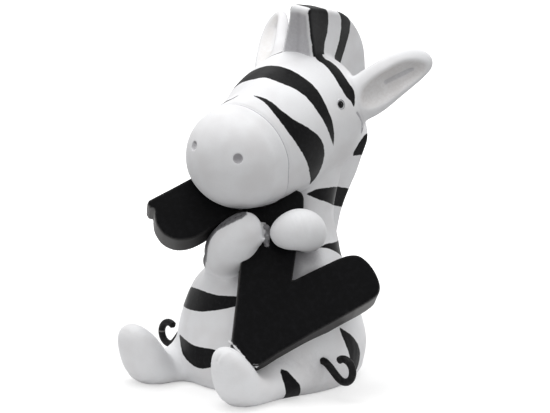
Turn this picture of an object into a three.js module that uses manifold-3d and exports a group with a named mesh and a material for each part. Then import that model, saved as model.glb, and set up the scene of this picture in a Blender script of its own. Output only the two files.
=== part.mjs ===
// Seated zebra figure that hugs a block capital letter Z and carries a wire linking hook on each hip.
// Millimetres, +Z up. The animal faces -Y and its own left side is +X.
// The origin lies on the table under the middle of the figure.
import * as THREE from 'three';
import { mergeVertices } from 'three/addons/utils/BufferGeometryUtils.js';
import Module from 'manifold-3d';

const wasm = await Module();
wasm.setup();

const { degToRad } = THREE.MathUtils;
const vec = (x, y, z) => new THREE.Vector3(x, y, z);

// Joints between pieces
const JOINT_GAP = 0.3;
const WIRE_HOLE_GAP = 0.3;

// Trunk and neck: a level round section at each height, its middle set fore or aft
const BASE = { height: 0, radius: 17.3, y: -1.6 };
const HIPS = { height: 7.5, radius: 18.6, y: -2.0 };
const BELLY = { height: 14, radius: 17.3, y: -2.2 };
const CHEST = { height: 19, radius: 15.4, y: -1.6 };
const SHOULDERS = { height: 23.2, radius: 12.7, y: 0.2 };
const NECK_FOOT = { height: 27, radius: 9.6, y: 2.2 };
const NECK = { height: 32, radius: 8.2, y: 3.6 };
const NAPE = { height: 38.5, radius: 8.0, y: 5.6 };
const BASE_EDGE_ROUND = 1.2;

// Legs: sections from the hip to the toe, by how far inside the hip's side and fore of its middle
const HIP_JOINT = { inside: 11.6, fore: -6.0, height: 6.2, width: 8.6, depth: 6.4 };
const THIGH = { inside: 9.2, fore: 3.5, height: 5.6, width: 9.0, depth: 5.9 };
const KNEE = { inside: 7.2, fore: 11.5, height: 3.4, width: 6.3, depth: 4.0 };
const SHIN = { inside: 5.9, fore: 17.5, height: 2.8, width: 4.7, depth: 3.4 };
const HEEL = { inside: 5.7, fore: 21.2, height: 3.8, width: 4.8, depth: 4.1 };
const INSTEP = { inside: 5.4, fore: 23.6, height: 7.1, width: 5.0, depth: 3.9 };
const TOE = { inside: 5.1, fore: 25.7, height: 11.4, width: 5.0, depth: 3.6 };

// Arms: a root in the trunk, then sections to the paw, placed across, up and out of the letter's face
const LEFT_SHOULDER = { across: 7.0, fore: -0.8, rise: 3.8, girth: 4.1 };
const LEFT_ELBOW = { across: 8.6, up: -1.4, out: -1.8, girth: 3.8 };
const LEFT_WRIST = { across: 6.3, up: -0.5, out: 2.7, girth: 3.8 };
const LEFT_PAW = { across: 1.5, up: 1.2, out: 2.5, girth: 4.0 };
const RIGHT_SHOULDER = { across: -2.6, fore: 9.4, rise: -2.2, girth: 4.6 };
const RIGHT_ELBOW = { across: -5.6, up: 3.0, out: -7.0, girth: 4.7 };
const RIGHT_WRIST = { across: -4.3, up: 3.4, out: -1.0, girth: 4.6 };
const RIGHT_PAW = { across: -0.9, up: 4.8, out: 4.2, girth: 4.1 };

// Head: skull ball and muzzle ball in one egg, drooped, turned and tilted to the animal's left
const SKULL_X = -1.2;
const SKULL_Y = 7.0;
const SKULL_HEIGHT = 50.6;
const SKULL_AT = vec(SKULL_X, SKULL_Y, SKULL_HEIGHT);
const SKULL_RADIUS = 12.9;
const HEAD_LENGTH = 21.9;
const HEAD_BULGE = 0.9;
const HEAD_DROOP = degToRad(14.6);
const HEAD_TURN = degToRad(13);
const HEAD_TILT = degToRad(10);
const MUZZLE_RADIUS = 9.8;
const MUZZLE_GROOVE_BACK = 1.7;
const NOSTRIL_RADIUS = 0.85;
const NOSTRIL_APART = 9.6;
const NOSTRIL_RISE = 1.6;
const EYE_RADIUS = 1.15;
const EYE_PROUD = 0.25;
const EYE_FORE = 3.8;
const EYE_RISE = 5.5;

// Ears: leaf shaped cups that point out, back and up from the skull; directions are in the head's frame
const EAR_LENGTH = 19.6;
const EAR_WIDTH = 9.6;
const EAR_THICKNESS = 4.6;
const EAR_SINK = 2.1;
const EAR_ROOT_TOWARD = vec(9.6, 1.0, 4.8);
const EAR_REACH_TOWARD = vec(7.6, 13.6, 7.9);
const RIGHT_EAR_LIFT = 1.4;
const EAR_OPENS_TOWARD = vec(0.55, -0.72, 0.1);
const EAR_RIM = 1.3;
const EAR_HOLLOW_DEPTH = 1.3;
const EAR_HOLLOW_ROUND = 2.2;
const EAR_LEAF = [
  { along: -0.12, share: 0.9 },
  { along: 0.2, share: 0.92 },
  { along: 0.5, share: 1.0 },
  { along: 0.78, share: 0.98 },
  { along: 1.0, share: 0.74 },
];

// Mane: a stiff crest over the skull and a ridge that carries it on down the back of the neck
const MANE_THICKNESS = 4.8;
const MANE_EDGE_ROUND = 0.7;
const CREST_RISE = 7.7;
const CREST_ARC_AT = new THREE.Vector2(0.5, 0.8);
const CREST_CROWN = 3.0;
const CREST_FRONT_TOP = new THREE.Vector2(-6.3, 22.4);
const CREST_FRONT_FOOT = new THREE.Vector2(-1.9, 9.0);
const CREST_FRONT_ROUND = 2.4;
const CREST_FOOT = 3.0;
const RIDGE_FOOT_HEIGHT = 19.5;
const RIDGE_FULLNESS = 1.1;
const RIDGE_BEND_HEIGHT = 43.5;

// Block letter: overall width and height, stroke of its bars, and the cut of its two short ends
const LETTER_WIDTH = 29.6;
const LETTER_HEIGHT = 37.2;
const LETTER_DEPTH = 7.0;
const LETTER_STROKE = 10.2;
const LETTER_TOP_END = 10.4;
const LETTER_FOOT_END = 5.6;
const LETTER_NOTCH = 1.2;
const LETTER_END_SWELL = 0.5;
const LETTER_TIP_ROUND = 3.4;
const LETTER_CORNER_ROUND = 2.0;
const LETTER_LOBE_ROUND = 4.3;
const LETTER_SPUR_LENGTH = 2.2;
const LETTER_SPUR_STEP = 0.8;
const LETTER_FOOT_SKEW = new THREE.Vector2(1.8, -1.0);
const LETTER_EDGE_ROUND = 0.35;
const LETTER_FACE_AT = vec(8.8, -12.8, 28.4);
const LETTER_RIGHTWARD = vec(0.388, 0.826, 0.41);
const LETTER_UPWARD = vec(-0.631, -0.087, 0.77);

// Linking hooks of bent wire, their shanks sunk in the hips
const WIRE_RADIUS = 0.7;
const HOOK_RING_RADIUS = 2.2;
const HOOK_STANDOFF = 6.5;
const HOOK_SUNK = 5.4;
const HOOK_STUB = 1.6;
const HOOK_FORE = 5.2;
const HOOK_RING_HEIGHT = 6.0;
const RIGHT_HOOK_DROP = 0.6;
const HOOK_SHANK_HEIGHT = 6.8;
const HOOK_RING_START = degToRad(238);
const HOOK_MOUTH_ANGLE = degToRad(130);

// Tail: sections from the rump to the tuft, by how far behind the rump and to the left of the middle
const TAIL = [
  { left: 0, behind: -3.2, height: 12.0, radius: 1.7 },
  { left: 0, behind: 0.7, height: 9.6, radius: 1.5 },
  { left: -1.6, behind: 1.7, height: 5.6, radius: 1.6 },
  { left: -5.4, behind: 1.0, height: 2.8, radius: 2.3 },
  { left: -10.6, behind: -1.2, height: 1.8, radius: 1.4 },
];

const WHITE_PAINT = { color: 0xf1f1ef, roughness: 0.6, metalness: 0 };
const BLACK_PAINT = { color: 0x17171a, roughness: 0.5, metalness: 0 };

// Solid of a closed geometry
function solidOf(geometry) {
  const bare = geometry.clone();
  bare.deleteAttribute('normal');
  bare.deleteAttribute('uv');
  const merged = mergeVertices(bare, 1e-3);
  return new wasm.Manifold(new wasm.Mesh({
    numProp: 3,
    vertProperties: new Float32Array(merged.attributes.position.array),
    triVerts: new Uint32Array(merged.index.array),
  }));
}

// Geometry of a solid
function geometryOf(solid) {
  const mesh = solid.getMesh();
  const geometry = new THREE.BufferGeometry();
  geometry.setAttribute('position', new THREE.BufferAttribute(new Float32Array(mesh.vertProperties), 3));
  geometry.setIndex(new THREE.BufferAttribute(new Uint32Array(mesh.triVerts), 1));
  geometry.computeVertexNormals();
  return geometry;
}

// Closed skin over rings of points, with a single point at each end
function skinOf(rings) {
  const positions = rings.flat().flatMap((p) => [p.x, p.y, p.z]);
  const sides = rings[1].length;
  const last = positions.length / 3 - 1;
  const index = [];
  for (let j = 0; j < sides; j++) {
    const k = (j + 1) % sides;
    index.push(0, 1 + k, 1 + j);
    index.push(last, last - sides + j, last - sides + k);
    for (let i = 0; i < rings.length - 3; i++) {
      const a = 1 + i * sides;
      const b = a + sides;
      index.push(a + j, a + k, b + k);
      index.push(a + j, b + k, b + j);
    }
  }
  const geometry = new THREE.BufferGeometry();
  geometry.setAttribute('position', new THREE.Float32BufferAttribute(positions, 3));
  geometry.setIndex(index);
  return geometry;
}

// Round-ended limb swept along stations, each a place with a half width and a half depth.
// The half width is measured along `across`, and a higher bluntness gives fuller ends.
function sweptGeometry(stations, { across, rings, sides, bluntness, grow = 0 }) {
  const spine = new THREE.CatmullRomCurve3(stations.map((s) => s.at), false, 'catmullrom', 0.5);
  const girth = new THREE.SplineCurve(stations.map((s) => new THREE.Vector2(s.width, s.depth)));
  const skin = [];
  for (let i = 0; i <= rings; i++) {
    const reach = -Math.cos((Math.PI * i) / rings);
    const along = (reach + 1) / 2;
    const closing = Math.pow(1 - Math.pow(Math.abs(reach), bluntness), 1 / bluntness);
    const tangent = spine.getTangent(along);
    const middle = spine.getPoint(along).addScaledVector(tangent, reach * grow);
    if (i === 0 || i === rings) {
      skin.push([middle]);
      continue;
    }
    const side = across.clone().addScaledVector(tangent, -across.dot(tangent)).normalize();
    const other = tangent.clone().cross(side);
    const size = girth.getPoint(along);
    skin.push(Array.from({ length: sides }, (_, j) => {
      const turn = (2 * Math.PI * j) / sides;
      return middle.clone()
        .addScaledVector(side, (size.x * closing + grow) * Math.cos(turn))
        .addScaledVector(other, (size.y * closing + grow) * Math.sin(turn));
    }));
  }
  return skinOf(skin);
}

function sweptSolid(stations, options) {
  return solidOf(sweptGeometry(stations, options));
}

// Everything below the table, as a slab
function tableSlab() {
  const size = 200;
  const slab = new THREE.BoxGeometry(size, size, size);
  slab.translate(0, 0, -size / 2);
  return solidOf(slab);
}

// Trunk sections from the base up into the skull
function trunkSections() {
  const inSkull = { height: SKULL_AT.z, radius: NAPE.radius, y: SKULL_AT.y + 1 };
  return [BASE, HIPS, BELLY, CHEST, SHOULDERS, NECK_FOOT, NECK, NAPE, inSkull];
}

// Radius and middle of the trunk at any height, on a smooth curve through its sections
function trunkAt(height) {
  const sections = trunkSections();
  const curve = new THREE.SplineCurve(sections.map((s) => new THREE.Vector2(s.radius, s.y)));
  const next = Math.max(1, sections.findIndex((s) => s.height >= height));
  const [below, above] = [sections[next - 1], sections[next]];
  const share = (height - below.height) / (above.height - below.height);
  const { x: radius, y } = curve.getPoint((next - 1 + share) / (sections.length - 1));
  return { radius, y };
}

// Trunk with the neck
function trunkSolid(grow = 0) {
  const sides = 44;
  const levels = 27;
  const top = SKULL_AT.z;
  const skin = [[vec(0, BASE.y, -grow)]];
  const ring = (height, radius, y) => Array.from({ length: sides }, (_, j) => {
    const turn = (2 * Math.PI * j) / sides;
    return vec(radius * Math.cos(turn), y + radius * Math.sin(turn), height);
  });
  skin.push(ring(-grow, BASE.radius - BASE_EDGE_ROUND + grow, BASE.y));
  for (let i = 0; i <= levels; i++) {
    const height = BASE_EDGE_ROUND + ((top - BASE_EDGE_ROUND) * i) / levels;
    const { radius, y } = trunkAt(height);
    skin.push(ring(height + (i === levels ? grow : 0), radius + grow, y));
  }
  skin.push([vec(0, trunkAt(top).y, top + grow)]);
  return solidOf(skinOf(skin));
}

// Leg laid forward on the table with its foot turned up; side is +1 for the left leg
function legSolid(side) {
  const stations = [HIP_JOINT, THIGH, KNEE, SHIN, HEEL, INSTEP, TOE].map((s) => ({
    at: vec(side * (HIPS.radius - s.inside), HIPS.y - s.fore, s.height),
    width: s.width,
    depth: s.depth,
  }));
  return sweptSolid(stations, { across: vec(1, 0, 0), rings: 22, sides: 24, bluntness: 3 });
}

// Arm from its root in the trunk to its paw on the letter
function armSolid(root, [elbow, wrist, paw], grow = 0) {
  const inTrunk = vec(root.across, SHOULDERS.y - root.fore, SHOULDERS.height + root.rise);
  const onLetter = (s) => vec(s.across, s.up, s.out).applyMatrix4(letterMatrix());
  const stations = [
    { at: inTrunk, width: root.girth, depth: root.girth },
    ...[elbow, wrist, paw].map((s) => ({ at: onLetter(s), width: s.girth, depth: s.girth })),
  ];
  return sweptSolid(stations, {
    across: LETTER_UPWARD, rings: 14, sides: 20, bluntness: 2.6, grow,
  });
}

function leftArmSolid(grow) {
  return armSolid(LEFT_SHOULDER, [LEFT_ELBOW, LEFT_WRIST, LEFT_PAW], grow);
}

function rightArmSolid() {
  return armSolid(RIGHT_SHOULDER, [RIGHT_ELBOW, RIGHT_WRIST, RIGHT_PAW]);
}

// Head frame: skull centre, turned and tilted
function headTurn() {
  return new THREE.Euler(0, HEAD_TILT, HEAD_TURN, 'ZYX');
}

function headMatrix() {
  return new THREE.Matrix4().makeRotationFromEuler(headTurn()).setPosition(SKULL_AT);
}

// Matrix that lays +Y of a lathe along the head's own length, muzzle last
function headAxisMatrix() {
  return new THREE.Matrix4().makeRotationX(Math.PI + HEAD_DROOP);
}

// Egg of the skull ball, the muzzle ball and a slightly full cone between them
function headEggProfile(grow) {
  const skull = SKULL_RADIUS + grow;
  const muzzle = MUZZLE_RADIUS + grow;
  const tangentAngle = Math.asin((skull - muzzle) / HEAD_LENGTH);
  const ballSteps = 11;
  const coneSteps = 6;
  const points = [];
  for (let i = 0; i <= ballSteps; i++) {
    const angle = -Math.PI / 2 + (i / ballSteps) * (Math.PI / 2 + tangentAngle);
    points.push(new THREE.Vector2(i === 0 ? 0 : skull * Math.cos(angle), skull * Math.sin(angle)));
  }
  const coneStart = points[ballSteps];
  const coneEnd = new THREE.Vector2(
    muzzle * Math.cos(tangentAngle), HEAD_LENGTH + muzzle * Math.sin(tangentAngle),
  );
  for (let i = 1; i < coneSteps; i++) {
    const share = i / coneSteps;
    const onCone = coneStart.clone().lerp(coneEnd, share);
    onCone.x += HEAD_BULGE * Math.sin(Math.PI * share) ** 2;
    points.push(onCone);
  }
  for (let i = 0; i <= ballSteps; i++) {
    const angle = tangentAngle + (i / ballSteps) * (Math.PI / 2 - tangentAngle);
    const radius = i === ballSteps ? 0 : muzzle * Math.cos(angle);
    points.push(new THREE.Vector2(radius, HEAD_LENGTH + muzzle * Math.sin(angle)));
  }
  return points;
}

function headEgg(grow = 0) {
  const egg = new THREE.LatheGeometry(headEggProfile(grow), 36);
  egg.applyMatrix4(headAxisMatrix());
  egg.applyMatrix4(headMatrix());
  return solidOf(egg);
}

// Slab across the head, square to its length, between two distances from the skull centre
function headSlice(from, to) {
  const size = 6 * SKULL_RADIUS;
  const slab = new THREE.BoxGeometry(size, to - from, size);
  slab.translate(0, (from + to) / 2, 0);
  slab.applyMatrix4(headAxisMatrix());
  slab.applyMatrix4(headMatrix());
  return solidOf(slab);
}

function ballInHead(at, radius) {
  const ball = new THREE.SphereGeometry(radius, 12, 8);
  ball.translate(at.x, at.y, at.z);
  ball.applyMatrix4(headMatrix());
  return solidOf(ball);
}

// Place of a nostril on the muzzle, in the head's frame
function nostrilAt(side) {
  const across = (side * NOSTRIL_APART) / 2;
  const fore = Math.sqrt(MUZZLE_RADIUS ** 2 - across ** 2 - NOSTRIL_RISE ** 2);
  return vec(0, HEAD_LENGTH, 0).applyMatrix4(headAxisMatrix()).add(vec(across, -fore, NOSTRIL_RISE));
}

// Centre of an eye, in the head's frame
function eyeAt(side) {
  const across = Math.sqrt(SKULL_RADIUS ** 2 - EYE_FORE ** 2 - EYE_RISE ** 2);
  return vec(side * across, -EYE_FORE, EYE_RISE).setLength(SKULL_RADIUS - EYE_RADIUS + EYE_PROUD);
}

// Ear: a leaf with its hollow turned forward; side is +1 for the left ear
function earSolid(side) {
  const mirror = vec(side, 1, 1);
  const root = EAR_ROOT_TOWARD.clone().setLength(SKULL_RADIUS - EAR_SINK).multiply(mirror);
  const toward = EAR_REACH_TOWARD.clone();
  toward.z += side < 0 ? RIGHT_EAR_LIFT : 0;
  const reach = toward.setLength(EAR_LENGTH).multiply(mirror);
  const opens = EAR_OPENS_TOWARD.clone().multiply(mirror);
  opens.addScaledVector(reach, -opens.dot(reach) / reach.lengthSq()).normalize();
  const across = reach.clone().cross(opens).normalize();
  const leaf = (sections, { narrower, forward, thickness, back }) => sections.map((s) => ({
    at: root.clone().addScaledVector(reach, s.along - back / EAR_LENGTH).addScaledVector(opens, forward),
    width: (s.share * EAR_WIDTH) / 2 - narrower,
    depth: thickness / 2,
  }));
  const outer = sweptGeometry(
    leaf(EAR_LEAF, { narrower: 0, forward: 0, thickness: EAR_THICKNESS, back: 0 }),
    { across, rings: 16, sides: 20, bluntness: 2.6 },
  );
  const forward = EAR_THICKNESS / 2 + EAR_HOLLOW_ROUND - EAR_HOLLOW_DEPTH;
  const hollow = sweptGeometry(
    leaf(EAR_LEAF.slice(1), {
      narrower: EAR_RIM / 2, forward, thickness: 2 * EAR_HOLLOW_ROUND, back: EAR_RIM,
    }),
    { across, rings: 12, sides: 16, bluntness: 2.4 },
  );
  outer.applyMatrix4(headMatrix());
  hollow.applyMatrix4(headMatrix());
  return solidOf(outer).subtract(solidOf(hollow));
}

// Plate in the animal's middle plane from an outline of (fore and aft, height) points
function manePlate(outline, curveSegments) {
  const bevel = MANE_EDGE_ROUND;
  const plate = new THREE.ExtrudeGeometry(outline, {
    depth: MANE_THICKNESS - 2 * bevel,
    bevelEnabled: true,
    bevelThickness: bevel,
    bevelSize: bevel,
    bevelOffset: -bevel,
    bevelSegments: 2,
    curveSegments,
  });
  plate.translate(0, 0, -(MANE_THICKNESS - 2 * bevel) / 2);
  plate.rotateX(Math.PI / 2);
  plate.rotateZ(Math.PI / 2);
  return plate;
}

// Crest: a fan round the skull, from the brow to the nape
function crestSolid() {
  const radius = SKULL_RADIUS + CREST_RISE;
  const backAngle = Math.asin((CREST_FOOT - CREST_ARC_AT.y) / radius);
  const crownAngle = Math.acos((CREST_CROWN - CREST_ARC_AT.x) / radius);
  const outline = new THREE.Shape();
  outline.moveTo(0, CREST_FOOT);
  outline.absarc(CREST_ARC_AT.x, CREST_ARC_AT.y, radius, backAngle, crownAngle, false);
  const crown = outline.currentPoint;
  const alongTop = crown.clone().sub(CREST_FRONT_TOP).setLength(CREST_FRONT_ROUND).add(CREST_FRONT_TOP);
  const downFront = CREST_FRONT_FOOT.clone().sub(CREST_FRONT_TOP).setLength(CREST_FRONT_ROUND);
  downFront.add(CREST_FRONT_TOP);
  outline.lineTo(alongTop.x, alongTop.y);
  outline.quadraticCurveTo(CREST_FRONT_TOP.x, CREST_FRONT_TOP.y, downFront.x, downFront.y);
  outline.lineTo(CREST_FRONT_FOOT.x, CREST_FRONT_FOOT.y);
  outline.closePath();
  const plate = manePlate(outline, 14);
  plate.applyMatrix4(headMatrix());
  return solidOf(plate);
}

// Lower back corner of the crest, where the ridge takes over
function crestHeel() {
  const radius = SKULL_RADIUS + CREST_RISE;
  const back = CREST_ARC_AT.x + Math.sqrt(radius ** 2 - (CREST_FOOT - CREST_ARC_AT.y) ** 2);
  return vec(0, back, CREST_FOOT).applyMatrix4(headMatrix());
}

// Everything in the head's frame above the foot of the crest
function aboveCrestFoot() {
  const size = 6 * SKULL_RADIUS;
  const roof = new THREE.BoxGeometry(size, size, size);
  roof.translate(0, 0, CREST_FOOT - JOINT_GAP + size / 2);
  roof.applyMatrix4(headMatrix());
  return solidOf(roof);
}

// Ridge on the back of the neck, rising to the crest and bending over to it with the turned head
function ridgeSolid() {
  const heel = crestHeel();
  const top = heel.z + MANE_THICKNESS;
  const half = MANE_THICKNESS / 2;
  const levels = 14;
  const skin = [];
  for (let i = 0; i <= levels; i++) {
    const height = THREE.MathUtils.lerp(RIDGE_FOOT_HEIGHT, top, i / levels);
    const share = Math.min(1, (height - RIDGE_FOOT_HEIGHT) / (heel.z - RIDGE_FOOT_HEIGHT));
    const trunk = trunkAt(Math.min(height, SKULL_AT.z));
    const back = THREE.MathUtils.lerp(trunk.y + trunk.radius, heel.y, share ** RIDGE_FULLNESS);
    const bend = heel.x * THREE.MathUtils.smoothstep(height, RIDGE_BEND_HEIGHT, heel.z);
    const section = [
      [half, trunk.y], [half, back - MANE_EDGE_ROUND], [half - MANE_EDGE_ROUND, back],
      [MANE_EDGE_ROUND - half, back], [-half, back - MANE_EDGE_ROUND], [-half, trunk.y],
    ].map(([x, y]) => vec(x + bend, y, height));
    const centre = section[0].clone().lerp(section[4], 1 / 2);
    skin.push(...(i === 0 ? [[centre], section] : [section]), ...(i === levels ? [[centre]] : []));
  }
  return solidOf(skinOf(skin));
}

function tailSolid() {
  const stations = TAIL.map((s) => ({
    at: vec(s.left, HIPS.y + HIPS.radius + s.behind, s.height),
    width: s.radius,
    depth: s.radius,
  }));
  return sweptSolid(stations, { across: vec(0, 0, 1), rings: 16, sides: 14, bluntness: 2.6 });
}

// Letter outline: rounded bar tips, a spur over the top bar's tip and a skewed foot
function letterShape(grow) {
  const side = LETTER_WIDTH / 2 + grow;
  const tip = side + LETTER_END_SWELL;
  const top = LETTER_HEIGHT / 2 + grow;
  const barInner = LETTER_HEIGHT / 2 - LETTER_STROKE - grow;
  const quarter = Math.PI / 2;
  const shape = new THREE.Shape();
  const roundCorner = (x, y, radius, from) => shape.absarc(x, y, radius, from, from - quarter, true);
  shape.moveTo(-tip, top);
  shape.lineTo(side, top);
  shape.lineTo(side, top - LETTER_TOP_END - 2 * grow);
  shape.lineTo(LETTER_NOTCH + grow, -barInner);
  roundCorner(tip - LETTER_TIP_ROUND, -barInner - LETTER_TIP_ROUND, LETTER_TIP_ROUND, quarter);
  roundCorner(tip - LETTER_CORNER_ROUND, LETTER_CORNER_ROUND - top, LETTER_CORNER_ROUND, 0);
  shape.lineTo(LETTER_FOOT_SKEW.x - side, LETTER_FOOT_SKEW.y - top);
  shape.lineTo(-side, LETTER_FOOT_END - top + 2 * grow);
  shape.lineTo(LETTER_NOTCH - grow, barInner);
  roundCorner(LETTER_LOBE_ROUND - tip, barInner + LETTER_LOBE_ROUND, LETTER_LOBE_ROUND, -quarter);
  shape.lineTo(-tip, top - 2 * LETTER_SPUR_LENGTH);
  shape.lineTo(LETTER_SPUR_STEP - tip, top - LETTER_SPUR_LENGTH);
  shape.lineTo(-tip, top - LETTER_SPUR_LENGTH);
  shape.closePath();
  return shape;
}

// Letter's frame: the middle of its face, with the face looking along +Z
function letterMatrix() {
  const x = LETTER_RIGHTWARD.clone().normalize();
  const y = LETTER_UPWARD.clone().addScaledVector(x, -LETTER_UPWARD.dot(x)).normalize();
  return new THREE.Matrix4().makeBasis(x, y, x.clone().cross(y)).setPosition(LETTER_FACE_AT);
}

function letterSolid(grow = 0) {
  const bevel = grow > 0 ? 0 : LETTER_EDGE_ROUND;
  const letter = new THREE.ExtrudeGeometry(letterShape(grow), {
    depth: LETTER_DEPTH + 2 * grow - 2 * bevel,
    bevelEnabled: bevel > 0,
    bevelThickness: bevel,
    bevelSize: bevel,
    bevelOffset: -bevel,
    bevelSegments: 2,
    curveSegments: 10,
  });
  letter.translate(0, 0, -LETTER_DEPTH - grow + bevel);
  letter.applyMatrix4(letterMatrix());
  return solidOf(letter);
}

// How far out the hip's side lies where a hook comes out of it
function hipSide() {
  return Math.sqrt(HIPS.radius ** 2 - HOOK_FORE ** 2);
}

// Hook: the wire's shank out of the hip, then its ring round to the open mouth
function hookSolid(side) {
  const ringOut = hipSide() + HOOK_STANDOFF;
  const ringHeight = HOOK_RING_HEIGHT - (side < 0 ? RIGHT_HOOK_DROP : 0);
  const at = (out, height) => vec(side * out, HIPS.y - HOOK_FORE, height);
  const points = [
    at(hipSide() - HOOK_SUNK, HOOK_SHANK_HEIGHT),
    at(hipSide(), HOOK_SHANK_HEIGHT),
    at(hipSide() + HOOK_STUB, HOOK_SHANK_HEIGHT),
  ];
  const steps = 9;
  const sweep = 2 * Math.PI + HOOK_MOUTH_ANGLE - HOOK_RING_START;
  for (let i = 0; i <= steps; i++) {
    const angle = HOOK_RING_START + (sweep * i) / steps;
    points.push(at(
      ringOut + HOOK_RING_RADIUS * Math.cos(angle),
      ringHeight + HOOK_RING_RADIUS * Math.sin(angle),
    ));
  }
  const section = new THREE.Shape().absarc(0, 0, WIRE_RADIUS, 0, 2 * Math.PI, false);
  const wire = new THREE.ExtrudeGeometry(section, {
    extrudePath: new THREE.CatmullRomCurve3(points, false, 'centripetal'),
    steps: 30,
    curveSegments: 5,
    bevelEnabled: false,
  });
  return solidOf(wire);
}

// Hole for a hook's shank: a little wider and a little deeper than the wire
function shankHole(side) {
  const bottom = hipSide() - HOOK_SUNK - WIRE_HOLE_GAP;
  const length = HOOK_SUNK + HOOK_STANDOFF;
  const radius = WIRE_RADIUS + WIRE_HOLE_GAP;
  const hole = new THREE.CylinderGeometry(radius, radius, length, 12);
  hole.rotateZ(Math.PI / 2);
  hole.translate(side * (bottom + length / 2), HIPS.y - HOOK_FORE, HOOK_SHANK_HEIGHT);
  return solidOf(hole);
}

// Cuts: each piece yields to the ones that it seats on
const letterSeat = letterSolid(JOINT_GAP);
const trunkSeat = trunkSolid(JOINT_GAP);
const headSeat = headEgg(JOINT_GAP);
const table = tableSlab();
const holes = shankHole(1).add(shankHole(-1));
const grooveFront = HEAD_LENGTH - MUZZLE_GROOVE_BACK + JOINT_GAP / 2;
const grooveBack = grooveFront - JOINT_GAP;
const egg = headEgg().subtract(letterSeat);

function headSolid() {
  let skull = egg.intersect(headSlice(-2 * SKULL_RADIUS, grooveBack));
  [1, -1].forEach((side) => {
    skull = skull.subtract(ballInHead(eyeAt(side), EYE_RADIUS + JOINT_GAP));
  });
  return skull;
}

function muzzleSolid() {
  let snout = egg.intersect(headSlice(grooveFront, HEAD_LENGTH + 2 * MUZZLE_RADIUS));
  [1, -1].forEach((side) => {
    snout = snout.subtract(ballInHead(nostrilAt(side), NOSTRIL_RADIUS));
  });
  return snout;
}

// Figure: one group for what the trunk carries, and the head's own group in it
const figure = new THREE.Group();
const body = new THREE.Group();
figure.add(body);
const headGroup = new THREE.Group();
headGroup.position.copy(SKULL_AT);
headGroup.rotation.copy(headTurn());
body.add(headGroup);
body.updateMatrixWorld(true);

// Adds a piece, cut in the body's frame, to a group in that group's own frame
function addPiece(group, name, solid, paint) {
  const geometry = geometryOf(solid).applyMatrix4(group.matrixWorld.clone().invert());
  const mesh = new THREE.Mesh(geometry, new THREE.MeshStandardMaterial(paint));
  mesh.name = name;
  group.add(mesh);
}

addPiece(body, 'trunk', trunkSolid().subtract(letterSeat).subtract(holes).subtract(headSeat), WHITE_PAINT);
addPiece(headGroup, 'head', headSolid(), WHITE_PAINT);
addPiece(headGroup, 'muzzle', muzzleSolid(), WHITE_PAINT);
addPiece(headGroup, 'crest', crestSolid().subtract(headSeat), WHITE_PAINT);
addPiece(headGroup, 'left_ear', earSolid(1).subtract(headSeat), WHITE_PAINT);
addPiece(headGroup, 'right_ear', earSolid(-1).subtract(headSeat), WHITE_PAINT);
addPiece(headGroup, 'left_eye', ballInHead(eyeAt(1), EYE_RADIUS), BLACK_PAINT);
addPiece(headGroup, 'right_eye', ballInHead(eyeAt(-1), EYE_RADIUS), BLACK_PAINT);

const ridgeSeats = trunkSeat.add(headSeat).add(aboveCrestFoot());
addPiece(body, 'neck_mane', ridgeSolid().subtract(ridgeSeats), WHITE_PAINT);

const armSeats = trunkSeat.add(letterSeat).add(headSeat);
addPiece(body, 'left_arm', leftArmSolid().subtract(armSeats), WHITE_PAINT);
const rightArmSeats = armSeats.add(leftArmSolid(JOINT_GAP));
addPiece(body, 'right_arm', rightArmSolid().subtract(rightArmSeats), WHITE_PAINT);

const legSeats = trunkSeat.add(letterSeat).add(holes).add(table);
addPiece(body, 'left_leg', legSolid(1).subtract(legSeats), WHITE_PAINT);
addPiece(body, 'right_leg', legSolid(-1).subtract(legSeats), WHITE_PAINT);
addPiece(body, 'tail', tailSolid().subtract(trunkSeat).subtract(table), WHITE_PAINT);
addPiece(body, 'letter_z', letterSolid(), BLACK_PAINT);
addPiece(body, 'left_hook', hookSolid(1), BLACK_PAINT);
addPiece(body, 'right_hook', hookSolid(-1), BLACK_PAINT);

// The body stands with the middle of its bounds over the origin
const middle = new THREE.Box3().setFromObject(body, true).getCenter(vec(0, 0, 0));
body.position.set(-middle.x, -middle.y, 0);

export default figure;
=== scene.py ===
import bpy
import numpy as np
from mathutils import Matrix, Vector


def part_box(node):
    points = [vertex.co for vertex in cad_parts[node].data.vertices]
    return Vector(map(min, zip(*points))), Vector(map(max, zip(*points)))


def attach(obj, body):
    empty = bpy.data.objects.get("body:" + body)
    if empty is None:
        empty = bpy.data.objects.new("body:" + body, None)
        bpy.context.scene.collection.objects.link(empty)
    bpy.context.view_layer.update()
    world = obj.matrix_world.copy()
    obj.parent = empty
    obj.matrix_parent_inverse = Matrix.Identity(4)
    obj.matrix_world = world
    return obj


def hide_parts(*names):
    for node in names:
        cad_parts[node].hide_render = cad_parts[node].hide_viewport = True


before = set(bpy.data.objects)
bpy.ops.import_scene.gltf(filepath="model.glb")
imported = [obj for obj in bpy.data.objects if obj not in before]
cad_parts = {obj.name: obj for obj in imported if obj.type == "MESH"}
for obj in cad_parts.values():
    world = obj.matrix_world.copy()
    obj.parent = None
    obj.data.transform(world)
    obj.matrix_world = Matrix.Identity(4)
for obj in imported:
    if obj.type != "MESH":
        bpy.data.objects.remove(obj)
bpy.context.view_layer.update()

# Forms are in millimetres, in the coordinates that the source models in
MM = 0.001
HIPS_Y, HIP_RADIUS, HOOK_FORE = -2.0, 18.6, 5.2
hook_low, hook_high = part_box("left_hook")
SHIFT_Y = (hook_low.y + hook_high.y) / 2 / MM - (HIPS_Y - HOOK_FORE)

# Mesh steps, finer on the pieces with small forms
COARSER = 1.0
STEP = 0.36
GRID = {"head": 0.28, "muzzle": 0.22, "crest": 0.28, "left_ear": 0.28, "letter_z": 0.3,
        "left_leg": 0.32, "left_arm": 0.3, "right_arm": 0.3}
FAR = 50.0
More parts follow.
